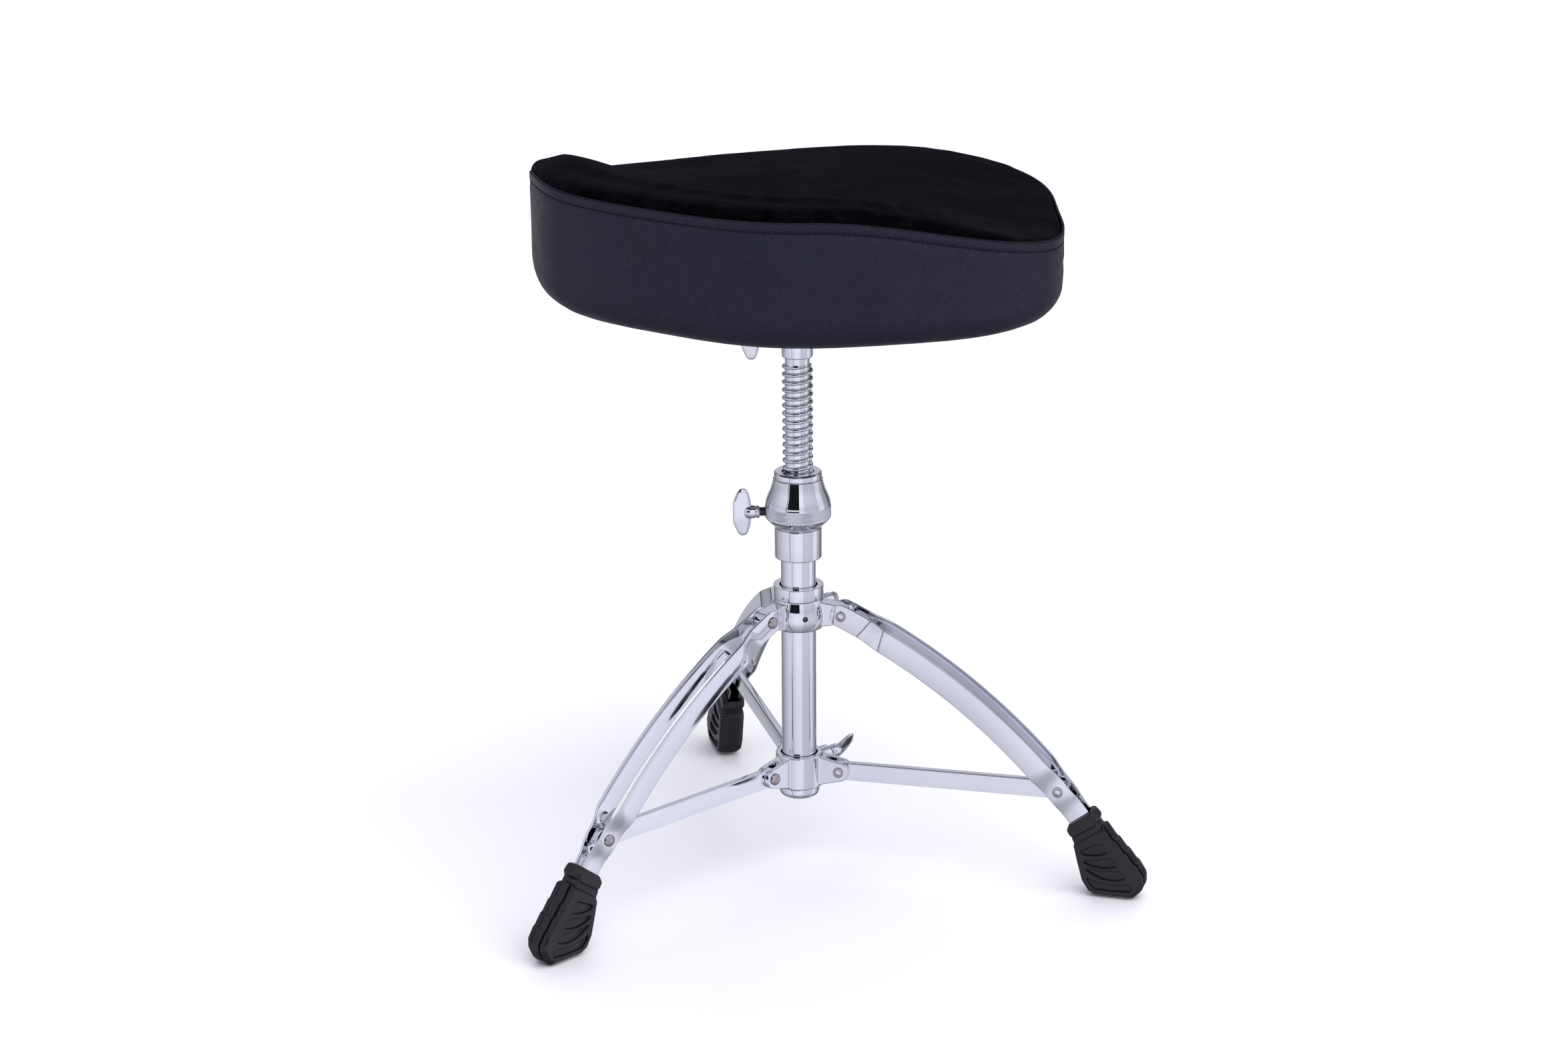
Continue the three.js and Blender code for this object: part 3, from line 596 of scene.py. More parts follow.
# ---- cushion --------------------------------------------------------------------------------
PAD_INSET = 2.2  # of the foam inside the skirt
SWELL = 0.0035  # the most that the sewn cover may swell, in metres
DISH_SINK = 2.2  # of the form below the finished top, which it then swells up to
CUSHION_VOXEL = 0.0052
PRESSURE = 4
CLOTH_FRAMES = 20


def cushion_form():
    """The cushion before it swells: a little low across the dish, and inside the skirt below the seam."""
    board_top = box_mm("seat_board")[1].z + 0.6
    shares = [0.12, 0.25, 0.4, 0.55, 0.66, 0.76, 0.84, RIM, 0.92, 0.945, 0.965, 0.98, 0.99]

    def on_top(share):
        sunk = DISH_SINK * (1 - smoothstep(share, 0.8, 0.98))
        return lambda azimuth: (seat_reach(azimuth) * share, top_height(azimuth, share) - sunk)

    profile = [lambda azimuth: (0, SEAT_CENTRE - DISH_SINK), *map(on_top, shares)]
    for inset, drop in ((0.9, -0.8), (PAD_INSET, 4), (PAD_INSET, 14)):
        profile.append(lambda a, i=inset, d=drop: (seat_reach(a) - i, seam_height(a) - d))
    profile += [lambda a, i=inset, h=height: (seat_reach(a) - i, h)
                for inset, height in ((PAD_INSET, board_top + 18), (PAD_INSET + 8, board_top))]
    profile.append(lambda azimuth: (0, board_top))
    return seat_rows(profile, 144)


def swollen(piece):
    """Blows the sewn cover up under pressure, keeps the swelling small and none of it at the seam."""
    remesh = piece.modifiers.new("remesh", "REMESH")
    remesh.mode, remesh.voxel_size = "VOXEL", CUSHION_VOXEL
    bake(piece)
    before = [corner.co.copy() for corner in piece.data.vertices]
    cloth = piece.modifiers.new("cloth", "CLOTH")
    cloth.settings.use_pressure = True
    cloth.settings.uniform_pressure_force = PRESSURE
    cloth.settings.effector_weights.gravity = 0
    scene = bpy.context.scene
    scene.frame_start, scene.frame_end = 1, CLOTH_FRAMES
    for step in range(1, CLOTH_FRAMES + 1):
        scene.frame_set(step)
    bake(piece)
    scene.frame_set(1)
    for corner, start in zip(piece.data.vertices, before):
        away = corner.co - start
        azimuth = atan2(start.y - AXIS.y, start.x - AXIS.x)
        reach = hypot(start.x - AXIS.x, start.y - AXIS.y) / MM
        free = 1 - smoothstep(reach, seat_reach(azimuth) * 0.86, seat_reach(azimuth) * 0.985)
        if start.z / MM < seam_height(azimuth) - 6 and reach > seat_reach(azimuth) - 12:
            free = 0
        corner.co = start + away.normalized() * min(away.length, SWELL) * free if away.length else start


def nap_height(azimuth, reach, height):
    """The small unevenness of the pile and of the foam under it."""
    where = Vector(polar(azimuth, reach, height)) * 0.018
    return 0.55 * noise.noise(where) + 0.25 * noise.noise(where * 3.1)


def make_cushion():
    corners, rows = cushion_form()
    piece = build("seat_cushion", corners, skin(rows, False), sharp=None)
    swollen(piece)
    divide = piece.modifiers.new("divide", "SUBSURF")
    divide.levels = divide.render_levels = 1
    bake(piece)
    for corner in piece.data.vertices:
        x, y, z = (corner.co - AXIS) / MM
        azimuth, reach = atan2(y, x), hypot(x, y)
        above = smoothstep(z, seam_height(azimuth) - 1, seam_height(azimuth) + 5)
        limit = seat_reach(azimuth) - mix(1.9, 0.25, above)
        reach = min(reach, limit)
        z += above * nap_height(azimuth, reach, z)
        corner.co = COLUMN @ Vector(polar(azimuth, reach, z))
    polish(piece.data, None)
    install(piece, "seat_top_cover", "seat_foam")


# ---- skirt ----------------------------------------------------------------------------------
SKIRT_THICK = 0.0012
FOLD_SIDES = (208, -8)  # azimuths of the drag folds' middles
FOLD_DEPTH = 0.55
FOLD_WIDTH, FOLD_FALL = 13, 15  # of a group of folds, in degrees round the seat and down it
LOCKSTITCH = {"length": 3.0, "gap": 0.75, "radius": 0.42}
WHIPSTITCH = {"length": 1.3, "gap": 0.65, "radius": 0.34, "tilt": 0.9}
STAPLES = 84


def drag_lines(azimuth, below_seam):
    """Soft folds that the pull of the seam leaves beside the nose, on both sides."""
    made = 0.0
    for centre in FOLD_SIDES:
        turn = (degrees(azimuth) - centre + 180) % 360 - 180
        lines = sin(0.42 * below_seam + 0.16 * turn)
        fading = exp(-(turn / FOLD_WIDTH) ** 2 - ((below_seam - 20) / FOLD_FALL) ** 2)
        made += FOLD_DEPTH * lines * fading
    return made


def creased(azimuth, inset, height):
    """The skirt's inset once it is creased, as sewn and stapled vinyl is."""
    where = Vector(polar(azimuth, seat_reach(azimuth), height))
    below = seam_height(azimuth) - height
    calm = smoothstep(below, 9, 24)
    inset += calm * (0.35 + 0.35 * noise.noise(where * 0.016) + 0.18 * noise.noise(where * 0.05))
    inset -= calm * drag_lines(azimuth, below)
    low = 1 - smoothstep(height, SEAT_FLOOR + 2, SEAT_FLOOR + 34)
    inset += 1.1 * low * (0.5 + 0.5 * noise.noise(where * 0.06 + Vector((7, 3, 1))))
    return max(inset, 0.0)


def skirt_profile():
    """(inset, drop below the seam) for the sewn edge, then (inset, height) down and under the board."""
    groove = [(0.6, -0.8), (0.95, 0), (0.7, 0.9), (0.3, 2.4), (0.1, 4.5), (0.0, 8), (0.0, 13)]
    sewn = [(1.6, -0.5), (0.75, -0.3), (0.3, 0.6), (0.1, 2.0), (0.05, 4.0), (0.15, 5.6)]
    sewn += [(inset, STITCH_DROP + drop) for inset, drop in groove]
    falls = [1, 0.85, 0.7, 0.55, 0.4, 0.27, 0.15, 0.05]
    turned_under = []
    for k in range(0, 10):
        angle = radians(90 * k / 9)
        turned_under.append((SKIRT_ROUND * (1 - cos(angle)), SEAT_FLOOR + SKIRT_ROUND * (1 - sin(angle))))
    return sewn, falls, turned_under


def make_skirt():
    sewn, falls, turned_under = skirt_profile()
    profile = [lambda a, i=inset, d=drop: (i, seam_height(a) - d) for inset, drop in sewn]
    top_drop, foot = sewn[-1][1], turned_under[0][1]
    profile += [lambda a, s=share: (0.0, mix(foot, seam_height(a) - top_drop, s)) for share in falls]
    profile += [lambda a, i=inset, h=height: (i, h) for inset, height in turned_under]
    profile += [lambda a, i=inset: (i, SEAT_FLOOR + 0.35 * sin(a * 46) * smoothstep(i, 23, 30))
                for inset in (25, 28, 31, 34, 38, 42, 46, 50)]

    def outer(place):
        def at(azimuth):
            inset, height = place(azimuth)
            return seat_reach(azimuth) - creased(azimuth, inset, height), height
        return at

    corners, rows = seat_rows([outer(place) for place in profile], 540)
    piece = build("seat_skirt", corners, skin(rows, False), sharp=None)
    thick = piece.modifiers.new("thick", "SOLIDIFY")
    thick.thickness, thick.offset = SKIRT_THICK, -1
    bake(piece)
    form = bmesh.new()
    form.from_mesh(piece.data)
    bmesh.ops.recalc_face_normals(form, faces=form.faces)
    form.to_mesh(piece.data)
    form.free()
    polish(piece.data, radians(60))
    install(piece, "seat_side_cover")


def stitch_path(inset, drop):
    """Points round the seat at a drop below the seam, about half a millimetre apart."""
    count = 2600
    points = []
    for k in range(count):
        azimuth = 2 * pi * k / count
        points.append(Vector(polar(azimuth, seat_reach(azimuth) - inset, seam_height(azimuth) - drop)))
    return points


def capsule_row(name, path, length, gap, radius, tilt=0.0):
    """Stitches along a closed path: short round-ended bars, each dipping in at its ends."""
    corners, faces = [], []
    travelled, start = 0.0, 0.0
    places = [0.0]
    for before, after in zip(path, path[1:]):
        travelled += (after - before).length
        places.append(travelled)

    def point_at(distance):
        index = min(max(floor(distance / travelled * (len(path) - 1)), 0), len(path) - 2)
        while index < len(path) - 2 and places[index + 1] < distance:
            index += 1
        while index > 0 and places[index] > distance:
            index -= 1
        share = (distance - places[index]) / max(places[index + 1] - places[index], 1e-9)
        return path[index].lerp(path[index + 1], share)

    shape = [(0.0, 0.25), (0.12, 0.8), (0.35, 1.0), (0.65, 1.0), (0.88, 0.8), (1.0, 0.25)]
    while start + length < travelled:
        stations = []
        for share, wide in shape:
            here = point_at(start + share * length)
            ahead = (point_at(min(start + share * length + 0.4, travelled)) - here).normalized()
            out = Vector((here.x, here.y, 0)).normalized()
            side = ahead.cross(out).normalized()
            centre = here + side * tilt * (share - 0.5) + out * 0.28 * (wide - 1.0)
            stations.append((centre, out * radius * wide, side * radius * wide))
        faces += capsule(corners, stations)
        start += length + gap
    return build(name, corners, faces, sharp=None)


def make_stitching():
    for name, path, stitch in (("seat_stitches", stitch_path(0.62, STITCH_DROP), LOCKSTITCH),
                               ("seam_edge_stitches", stitch_path(0.35, 0.15), WHIPSTITCH)):
        attach(capsule_row(name, path, **stitch), "seat", "vinyl", "stitch_thread")


STAPLE = [(-5, 1.6), (-4.7, 0.2), (-4.2, 0), (4.2, 0), (4.7, 0.2), (5, 1.6)]  # place along it, and rise


def make_underside():
    """Dust cloth over the board's bottom, held by staples near its edge."""
    board_bottom = box_mm("seat_bottom_cover")[0].z
    under = board_bottom - 1.9

    def ring(inset, height):
        return lambda azimuth: (seat_reach(azimuth) - inset, height)

    def pucker(azimuth, amount):
        gathers = 0.5 + 0.5 * sin(azimuth * 62)
        return amount * gathers * (0.6 + 0.4 * noise.noise(Vector((azimuth * 9, 2, 5))))

    def edge(inset, height, amount):
        return lambda azimuth: (seat_reach(azimuth) - inset - pucker(azimuth, 1.2),
                                height - pucker(azimuth, amount))

    profile = [lambda azimuth: (0, board_bottom),
               ring(120, board_bottom - 0.2), ring(80, board_bottom - 0.4),
               edge(60, board_bottom - 0.7, 0.5), edge(50, under, 0.5), edge(44.5, under, 0.3),
               edge(44, under + 0.5, 0.2), edge(46, under + 0.9, 0.1), ring(62, board_bottom + 0.5),
               lambda azimuth: (0, board_bottom + 0.7)]
    corners, rows = seat_rows(profile, 360)
    install(build("seat_dust_cloth", corners, skin(rows, False), sharp=None), "seat_bottom_cover")
    corners, faces = [], []
    for k in range(STAPLES):
        azimuth = 2 * pi * (k + 0.5) / STAPLES
        centre = Vector(polar(azimuth, seat_reach(azimuth) - 47.5, under - 0.75))
        along = Vector((-sin(azimuth + 0.12), cos(azimuth + 0.12), 0))
        out = Vector((0, 0, 1)).cross(along)
        wire = [centre + along * share + Vector((0, 0, lift)) for share, lift in STAPLE]
        faces += capsule(corners, [(point, out * 0.55, Vector((0, 0, 0.35))) for point in wire])
    attach(build("seat_staples", corners, faces), "seat", "rivet_steel")


# ---- receiver under the seat ----------------------------------------------------------------
PLATE_THICK = 3
SOCKET_RADIUS, SOCKET_BORE = 12.65, 11.55
SOCKET_TOP = 486  # of the bore
BOLT_HEAD = 3.6


def make_receiver():
    low, high = box_mm("seat_receiver")
    half = (high.x - low.x) / 2 if high.x - low.x < high.y - low.y else (high.y - low.y) / 2
    plate_low = high.z - PLATE_THICK
    screw = outward(screw_azimuth("seat_screw_turn"), joint_height("seat_screw_turn"))
    outline = fillet([(-half, -half), (half, -half), (half, half), (-half, half)], 12, 8)
    flat = prism("plate", outline, plate_low, high.z, COLUMN @ Matrix.Rotation(radians(90), 4, "X"))
    root = plate_low + 0.6
    wall = [(0, low.z), (SOCKET_RADIUS, low.z), (SOCKET_RADIUS, 478), (14.5, 483.5), (24, root), (0, root)]
    tube = lathe("tube", plug(wall, 1.4))
    boss = bar("boss", 7.2, 8, 19.5, screw)
    hole = [(0, low.z - 5), (SOCKET_BORE, low.z - 5), (SOCKET_BORE, SOCKET_TOP), (0, SOCKET_TOP)]
    bore = lathe("bore", plug(hole, 0.2))
    cast_receiver = cast("seat_socket", [tube, boss], [bore], 0.55, 4)
    gussets = []
    for k in range(4):
        shape = [(12, 470), (12.8, 470), (40, plate_low - 0.2), (40, plate_low + 1), (12, plate_low + 1)]
        gussets.append(prism("gusset", fillet(shape, 1), -1.5, 1.5, turned_place(90 * k)))
    install(joined("seat_receiver_casting", cast_receiver, flat, *gussets), "seat_receiver")


def make_plate_bolts():
    """Hex heads on washers, through the plate into the board."""
    for k in range(1, 5):
        node = f"receiver_bolt_{k}"
        low, high = box_mm(node)
        centre = (low + high) / 2
        place = COLUMN @ Matrix.Translation((centre.x, centre.y, low.z))

        def hexagon(angle, radius, height):
            if radius < 3.2 or height > BOLT_HEAD - 1.2:
                return radius
            across = (angle + 0.3 * k) % (pi / 3) - pi / 6
            return radius * cos(pi / 6) / cos(across)

        length = high.z - low.z
        hex_head = [(0, 0), (4.3, 0), (5.3, 0.7), (5.3, BOLT_HEAD - 1.3), (5.3, BOLT_HEAD - 1.1)]
        washer = [(5.5, BOLT_HEAD - 1), (5.5, BOLT_HEAD - 0.1), (2.9, BOLT_HEAD - 0.1)]
        profile = plug([*hex_head, *washer, (2.9, length), (0, length)], 0.25, 2)
        install(lathe(f"plate_bolt_{k}", profile, place, 48, hexagon), node)


# ---- wing screws ----------------------------------------------------------------------------
WING_SPAN = 20  # half the width over a wing screw's blades
STUD_ROOT, STUD_CREST, STUD_PITCH = 3.25, 3.88, 1.25


def blade_edges(across):
    """Inner and outer edge of the blades along the screw's axis, at a place across them."""
    out = abs(across) / WING_SPAN
    inner = 6.6 + 2.6 * smoothstep(out, 0.3, 1.0)
    outer = 21.7 - 3.9 * smoothstep(out, 0.3, 1.0)
    return inner, outer


def squarish(value, power):
    """A sine or cosine pushed out from zero, for a section with flatter sides than an ellipse."""
    return abs(value) ** power * (1 if value > 0 else -1)


def make_wing(name, joint, start, turn):
    """Two swept leaf blades on a grooved hub, cast in one."""
    place = turned_place(screw_azimuth(joint)) @ Matrix.Translation((start, 0, joint_height(joint)))
    place = place @ Matrix.Rotation(radians(turn), 4, "X")
    layers = []
    stations, around = 61, 24
    for k in range(stations):
        across = WING_SPAN * sin(pi * (k / (stations - 1) - 0.5))
        inner, outer = blade_edges(across)
        tip = sqrt(max(0.0, 1 - (abs(across) / WING_SPAN) ** 12))
        middle, half = (inner + outer) / 2, (outer - inner) / 2 * max(tip, 0.03)
        thick = (2.5 - 1.1 * smoothstep(abs(across) / WING_SPAN, 0.1, 1.0)) * max(tip, 0.05)
        turns = [2 * pi * n / around for n in range(around)]
        layers.append([(middle + half * squarish(cos(a), 0.75), thick * squarish(sin(a), 0.5), across)
                       for a in turns])
    blades = build("blades", *rows_of(layers), place, None)
    hub_profile = plug([(0, 0), (4.6, 0), (5.3, 0.8), (5.3, 2.0), (4.7, 2.5), (4.7, 3.3), (5.4, 3.8),
                        (5.3, 8.6), (4.4, 11), (2.5, 12.6), (0, 13)], 0.45)
    hub = lathe("hub", hub_profile, place @ ALONG_X, 64)
    return install(cast(f"{name}_wing_cast", [hub, blades], [], 0.36, 3), f"{name}_wing")


def make_stud(name, joint):
    """The threaded stud: coarse metric thread, chamfered inner end."""
    node = f"{name}_stud"
    azimuth = screw_azimuth(joint)
    back = Matrix.Rotation(radians(-azimuth), 4, "Z")
    reaches = [(back @ ((corner.co - AXIS) / MM)).x for corner in frame["nodes"][node].data.vertices]
    place = outward(azimuth, joint_height(joint))
    run = (STUD_ROOT, STUD_CREST, STUD_PITCH, min(reaches), max(reaches))
    spiral = thread(f"{name}_stud_thread", place, *run, share=0.95, sides=24, per_turn=6)
    install(spiral, node)


def make_wing_screws():
    for name, start, turn in (("seat", 23.5, 0), ("collar", 31.5, 0), ("hub", 35.5, 38)):
        make_wing(name, f"{name}_screw_turn", start, turn)
        make_stud(name, f"{name}_screw_turn")


# ---- column ---------------------------------------------------------------------------------
ROD_PITCH = 6.56
ROD_ROOT, ROD_CREST = 10.2, 12.62
THREAD_LOW, THREAD_HIGH = 215, 432.5
SHANK_RADIUS, SHANK_TOP = 7, 175


def make_rod():
    low, high = box_mm("threaded_rod")
    run = (ROD_ROOT, ROD_CREST, ROD_PITCH, THREAD_LOW, THREAD_HIGH)
    ridged = thread("rod_thread", COLUMN, *run, share=0.6, sides=96, per_turn=24)
    shank = lathe("shank", plug([(0, low.z), (6.4, low.z), (SHANK_RADIUS, low.z + 1),
                                 (SHANK_RADIUS, SHANK_TOP), (ROD_ROOT, SHANK_TOP + 0.6),
                                 (ROD_ROOT, THREAD_LOW + 1), (0, THREAD_LOW + 1)], 0.5))
    end = lathe("end", plug([(0, 430), (10.1, 430), (10.1, high.z - 1.5), (8.6, high.z), (0, high.z)], 0.7))
    install(joined("rod", ridged, shank, end), "threaded_rod")


def make_tube():
    low, high = box_mm("base_tube")
    bore = TUBE_RADIUS - 1.2
    loop = [(bore, low.z), (TUBE_RADIUS, low.z), (TUBE_RADIUS, high.z), (bore, high.z)]
    install(lathe("column_tube", fillet(loop, 0.35)), "base_tube")


def make_end_nut():
    low, high = box_mm("tube_end_nut")
    wide = high.x
    loop = [(6, low.z), (wide - 2.8, low.z), (wide - 0.7, low.z + 1.6), (wide, low.z + 3.8), (wide, high.z),
            (14.7, high.z), (14.7, low.z + 2.3), (6, low.z + 2.3)]
    install(lathe("column_end_nut", fillet(loop, 0.9)), "tube_end_nut")


def make_sleeve():
    low, high = box_mm("thread_sleeve")
    wide, step = high.x, box_mm("base_tube")[1].z + 0.3
    loop = [(14.6, low.z), (wide, low.z), (wide, high.z), (17.3, high.z), (17.3, step), (14.6, step)]
    install(lathe("column_sleeve", fillet(loop, 1.5, 5)), "thread_sleeve")


KNURL = {"low": 305.6, "high": 314.4, "count": 76, "climb": 2.9, "depth": 0.36}


def make_lock_collar():
    """A bell with a diamond-knurled band at its widest."""
    low, high = box_mm("lock_collar")
    bore = 12.95
    flare = curved([(26.7, 316), (26.1, 319.2), (24.4, 323.6), (22.4, 328.2), (21, 332.8), (20.2, 337)])
    outline = [(bore, low.z), (19, low.z), (25.6, 302.6), (27, 304.6), (27, 315.2), *flare,
               (19.3, 337.6), (19.6, 338.4), (19.5, high.z - 1.2), (18.3, high.z), (bore, high.z)]
    eased = fillet(outline, 0.6, 3)
    dense = []
    for (r0, h0), (r1, h1) in zip(eased, eased[1:] + eased[:1]):
        steps = 36 if r0 > 26.5 and r1 > 26.5 and abs(h1 - h0) > 4 else 1
        dense += [(mix(r0, r1, k / steps), mix(h0, h1, k / steps)) for k in range(steps)]

    def knurl(angle, radius, height):
        """Two sets of fine grooves that cross, within the band."""
        band = smoothstep(height, KNURL["low"] - 0.5, KNURL["low"])
        band *= 1 - smoothstep(height, KNURL["high"], KNURL["high"] + 0.5)
        if radius < 26 or not band:
            return radius
        turn, climb = KNURL["count"] * angle, KNURL["climb"] * (height - low.z)
        crossing = max(cos(turn + climb), cos(turn - climb))
        return radius - KNURL["depth"] * band * max(crossing, 0) ** 2

    install(lathe("collar_bell", dense, segments=12 * KNURL["count"], wall=knurl), "lock_collar")


# ---- hubs -----------------------------------------------------------------------------------
LUG_HALF = 6.2
FORK_HALF = 7
PIN_AZIMUTH = degrees(atan2(*(sum(box_mm("hub_pin"), Vector()) / 2).yx))
PIN_HEIGHT = (sum(box_mm("hub_pin"), Vector()) / 2).z


def lug_outline(pivot, end_radius, root, low, high):
    reach, height = pivot
    turns = [radians(a) for a in range(-90, 91, 10)]
    nose = [(reach + end_radius * cos(a), height + end_radius * sin(a)) for a in turns]
    return [(root, low), *nose, (root, high)]


def at_each_leg(name, outline, half):
    """The same prism toward each of the three legs."""
    return [prism(name, outline, -half, half, turned_place(azimuth)) for azimuth in LEG_AZIMUTHS.values()]


def make_upper_hub():
    low, high = box_mm("upper_hub")
    belly = curved([(19.2, low.z), (21.2, low.z + 1.8), (22.6, low.z + 7), (22.8, low.z + 12.6),
                    (22, low.z + 19), (20.5, low.z + 24), (19.8, high.z)])
    barrel = lathe("barrel", plug([(0, low.z), *belly, (0, high.z)], 0.8), segments=96)
    lug = lug_outline(UPPER_PIVOT, 7.6, 14, low.z + 0.8, high.z - 0.8)
    lugs = at_each_leg("lug", lug, LUG_HALF)
    front = outward(FRONT, UPPER_PIVOT[1])
    boss = bar("boss", 6, 15, 37, front)
    bore = bar("bore", TUBE_RADIUS + 0.3, low.z - 10, high.z + 10, COLUMN, ROUND)
    pin_place = outward(PIN_AZIMUTH, PIN_HEIGHT)
    pin_hole = bar("pin_hole", 2.1, 12, 30, pin_place)
    gap = [(13, low.z + 2), (34, low.z + 2), (34, high.z + 2), (13, high.z + 2)]
    split = prism("split", gap, -0.9, 0.9, turned_place(FRONT))
    install(cast("hub_upper", [barrel, *lugs, boss], [bore, pin_hole, split], 0.5, 4), "upper_hub")

    ring_low, ring_high = box_mm("upper_hub_ring")
    inner, wide = TUBE_RADIUS + 1, ring_high.x
    loop = [(inner, ring_low.z), (wide, ring_low.z), (wide, ring_high.z), (inner, ring_high.z)]
    install(lathe("hub_top_ring", fillet(loop, 0.8)), "upper_hub_ring")

    bolt = plug([(0, TUBE_RADIUS + 0.3), (3, TUBE_RADIUS + 0.3), (3, 37.2), (5.2, 37.2), (5.2, 42),
                 (4.4, 42.5), (2.9, 42.5), (2.7, 39.6), (0, 39.4)], 0.4)

    def socket_head(angle, radius, reach):
        if reach > 39.3 and radius < 3.2:
            return radius * cos(pi / 6) / cos(angle % (pi / 3) - pi / 6)
        if radius > 5 and 37.6 < reach < 41.6:
            return radius - 0.16 * (0.5 - 0.5 * cos(36 * angle))
        return radius

    install(lathe("hub_bolt", bolt, front, 288, socket_head), "hub_clamp_bolt")
    pin = plug([(0, TUBE_RADIUS + 0.3), (1.8, TUBE_RADIUS + 0.3), (1.8, 21.6), (0, 21.6)], 0.4)
    install(lathe("hub_set_pin", pin, pin_place, 32), "hub_pin")


def make_lower_hub():
    low, high = box_mm("lower_hub")
    middle = LOWER_PIVOT[1]
    wall = plug([(0, low.z), (19.6, low.z), (19.6, high.z), (0, high.z)], 1.2)
    barrel = lathe("barrel", wall, segments=96)
    fork = lug_outline(LOWER_PIVOT, 8.4, 13, low.z + 0.6, high.z - 0.4)
    forks = at_each_leg("fork", fork, FORK_HALF)
    front = outward(FRONT, joint_height("hub_screw_turn"))
    boss = bar("boss", 7.4, 14, 33, front)
    bore = bar("bore", TUBE_RADIUS + 0.9, low.z - 10, high.z + 10, COLUMN, ROUND)
    slots = []
    for azimuth in LEG_AZIMUTHS.values():
        slot = [(24, middle - 30), (50, middle - 30), (50, middle + 30), (24, middle + 30)]
        slots.append(prism("slot", slot, -3.1, 3.1, turned_place(azimuth)))
    hole = bar("hole", 4.3, 10, 40, front)
    install(cast("hub_lower", [barrel, *forks, boss], [bore, *slots, hole], 0.5, 3), "lower_hub")


# ---- legs -----------------------------------------------------------------------------------
STRAP_BEND = 506
STRAP_HALF = 9.75
STRAP_THICK = 2
STRAP_END = 56
# Half width over the straps, by distance along them: beside the hub, at the brace and in the foot.
STRAP_SPREAD = [(0, 8.55), (22, 8.55), (38, 13), (208, 13), (221, 8.55), (236, 8.55), (246, 5.5),
                (400, 5.5)]

chord = Vector(BRACE_PIVOT) - Vector(UPPER_PIVOT)
half_turn = asin(chord.length / 2 / STRAP_BEND)
PIVOT_SPAN = 2 * half_turn * STRAP_BEND
START_ANGLE = atan2(chord.y, chord.x) + half_turn + pi / 2
ARC_CENTRE = Vector(UPPER_PIVOT) - STRAP_BEND * Vector((cos(START_ANGLE), sin(START_ANGLE)))


def on_arc(along, side):
    """Reach and height at a distance along the straps' arc from the upper pivot, and to its upper side."""
    angle = START_ANGLE - along / STRAP_BEND
    radius = STRAP_BEND + side
    return ARC_CENTRE.x + radius * cos(angle), ARC_CENTRE.y + radius * sin(angle)


def spread_at(along):
    """Half width over the straps, with the folds of each joggle rounded."""
    total = 0.0
    offsets = [k * 0.7 for k in range(-6, 7)]
    for offset in offsets:
        place = max(along + offset, 0)
        for (start, wide), (end, wider) in zip(STRAP_SPREAD, STRAP_SPREAD[1:]):
            if start <= place <= end:
                total += mix(wide, wider, (place - start) / (end - start))
                break
    return total / len(offsets)


def strap_stations():
    ends = [-STRAP_HALF * sin(radians(a)) for a in (89.5, 84, 76, 66, 55, 44, 33, 22, 11)]
    last = PIVOT_SPAN + STRAP_END
    count = round(last / 1.8)
    return ends + [last * k / count for k in range(count + 1)]


def make_strap(name, letter, azimuth):
    side = 1 if letter == "a" else -1
    flat = [(0, -STRAP_HALF), (STRAP_THICK, -STRAP_HALF), (STRAP_THICK, STRAP_HALF), (0, STRAP_HALF)]
    section = fillet(flat, 0.75, 3)
    layers = []
    for along in strap_stations():
        inner = spread_at(along) - STRAP_THICK
        share = sqrt(max(0.0, 1 - (along / STRAP_HALF) ** 2)) if along < 0 else 1
        arc = [(depth, on_arc(along, up * share)) for depth, up in section]
        layers.append([(reach, side * (inner + depth), height) for depth, (reach, height) in arc])
    piece = build(f"{name}_strap_{letter}", *rows_of(layers), turned_place(azimuth), radians(50))
    install(piece, f"{name}_leg_strap_{letter}")


BRACE = {"half": 7.75, "wide": 2.8, "wall": 1.4}


def make_brace(name, azimuth):
    """A folded channel, open below, with round ends about its pivots."""
    half, wide, wall = BRACE["half"], BRACE["wide"], BRACE["wall"]
    run = Vector(BRACE_PIVOT) - Vector(LOWER_PIVOT)
    inside = wide - wall
    section = ([(-wide, -half), (-wide, half), (wide, half), (wide, -half)],
               [(inside, -half), (inside, half - wall), (-inside, half - wall), (-inside, -half)])
    ring = plug(section[0], 1.3) + plug(section[1], 0.5, 3)
    ends = [(-cos(radians(a)) * half, max(sin(radians(a)), 0.02)) for a in (1, 8, 16, 26, 38, 52, 68, 90)]
    stations = ends + [(run.length * k / 12, 1) for k in range(1, 12)]
    stations += [(run.length - x, share) for x, share in reversed(ends)]
    layers = [[(along, across, up * share) for across, up in ring] for along, share in stations]
    place = turned_place(azimuth) @ Matrix.Translation((LOWER_PIVOT[0], 0, LOWER_PIVOT[1]))
    place = place @ Matrix.Rotation(-atan2(run.y, run.x), 4, "Y")
    install(build(f"{name}_channel", *rows_of(layers), place, radians(50)), f"{name}_brace")


RIVET = {"shank": 2.9, "head": 5, "rise": 2.5, "tail": 4.4, "tail_rise": 1.3, "socket": 2.2}


def rivet_head(half):
    """Profile of the domed end, from the shank to the axis, on a face at this half width."""
    face = half + 0.3
    dome = [(RIVET["head"] * cos(radians(a)), face + 0.35 + (RIVET["rise"] - 0.35) * sin(radians(a)))
            for a in range(0, 90, 9)]
    return [(RIVET["shank"], face), (RIVET["head"] - 0.2, face), *dome, (0, face + RIVET["rise"])]


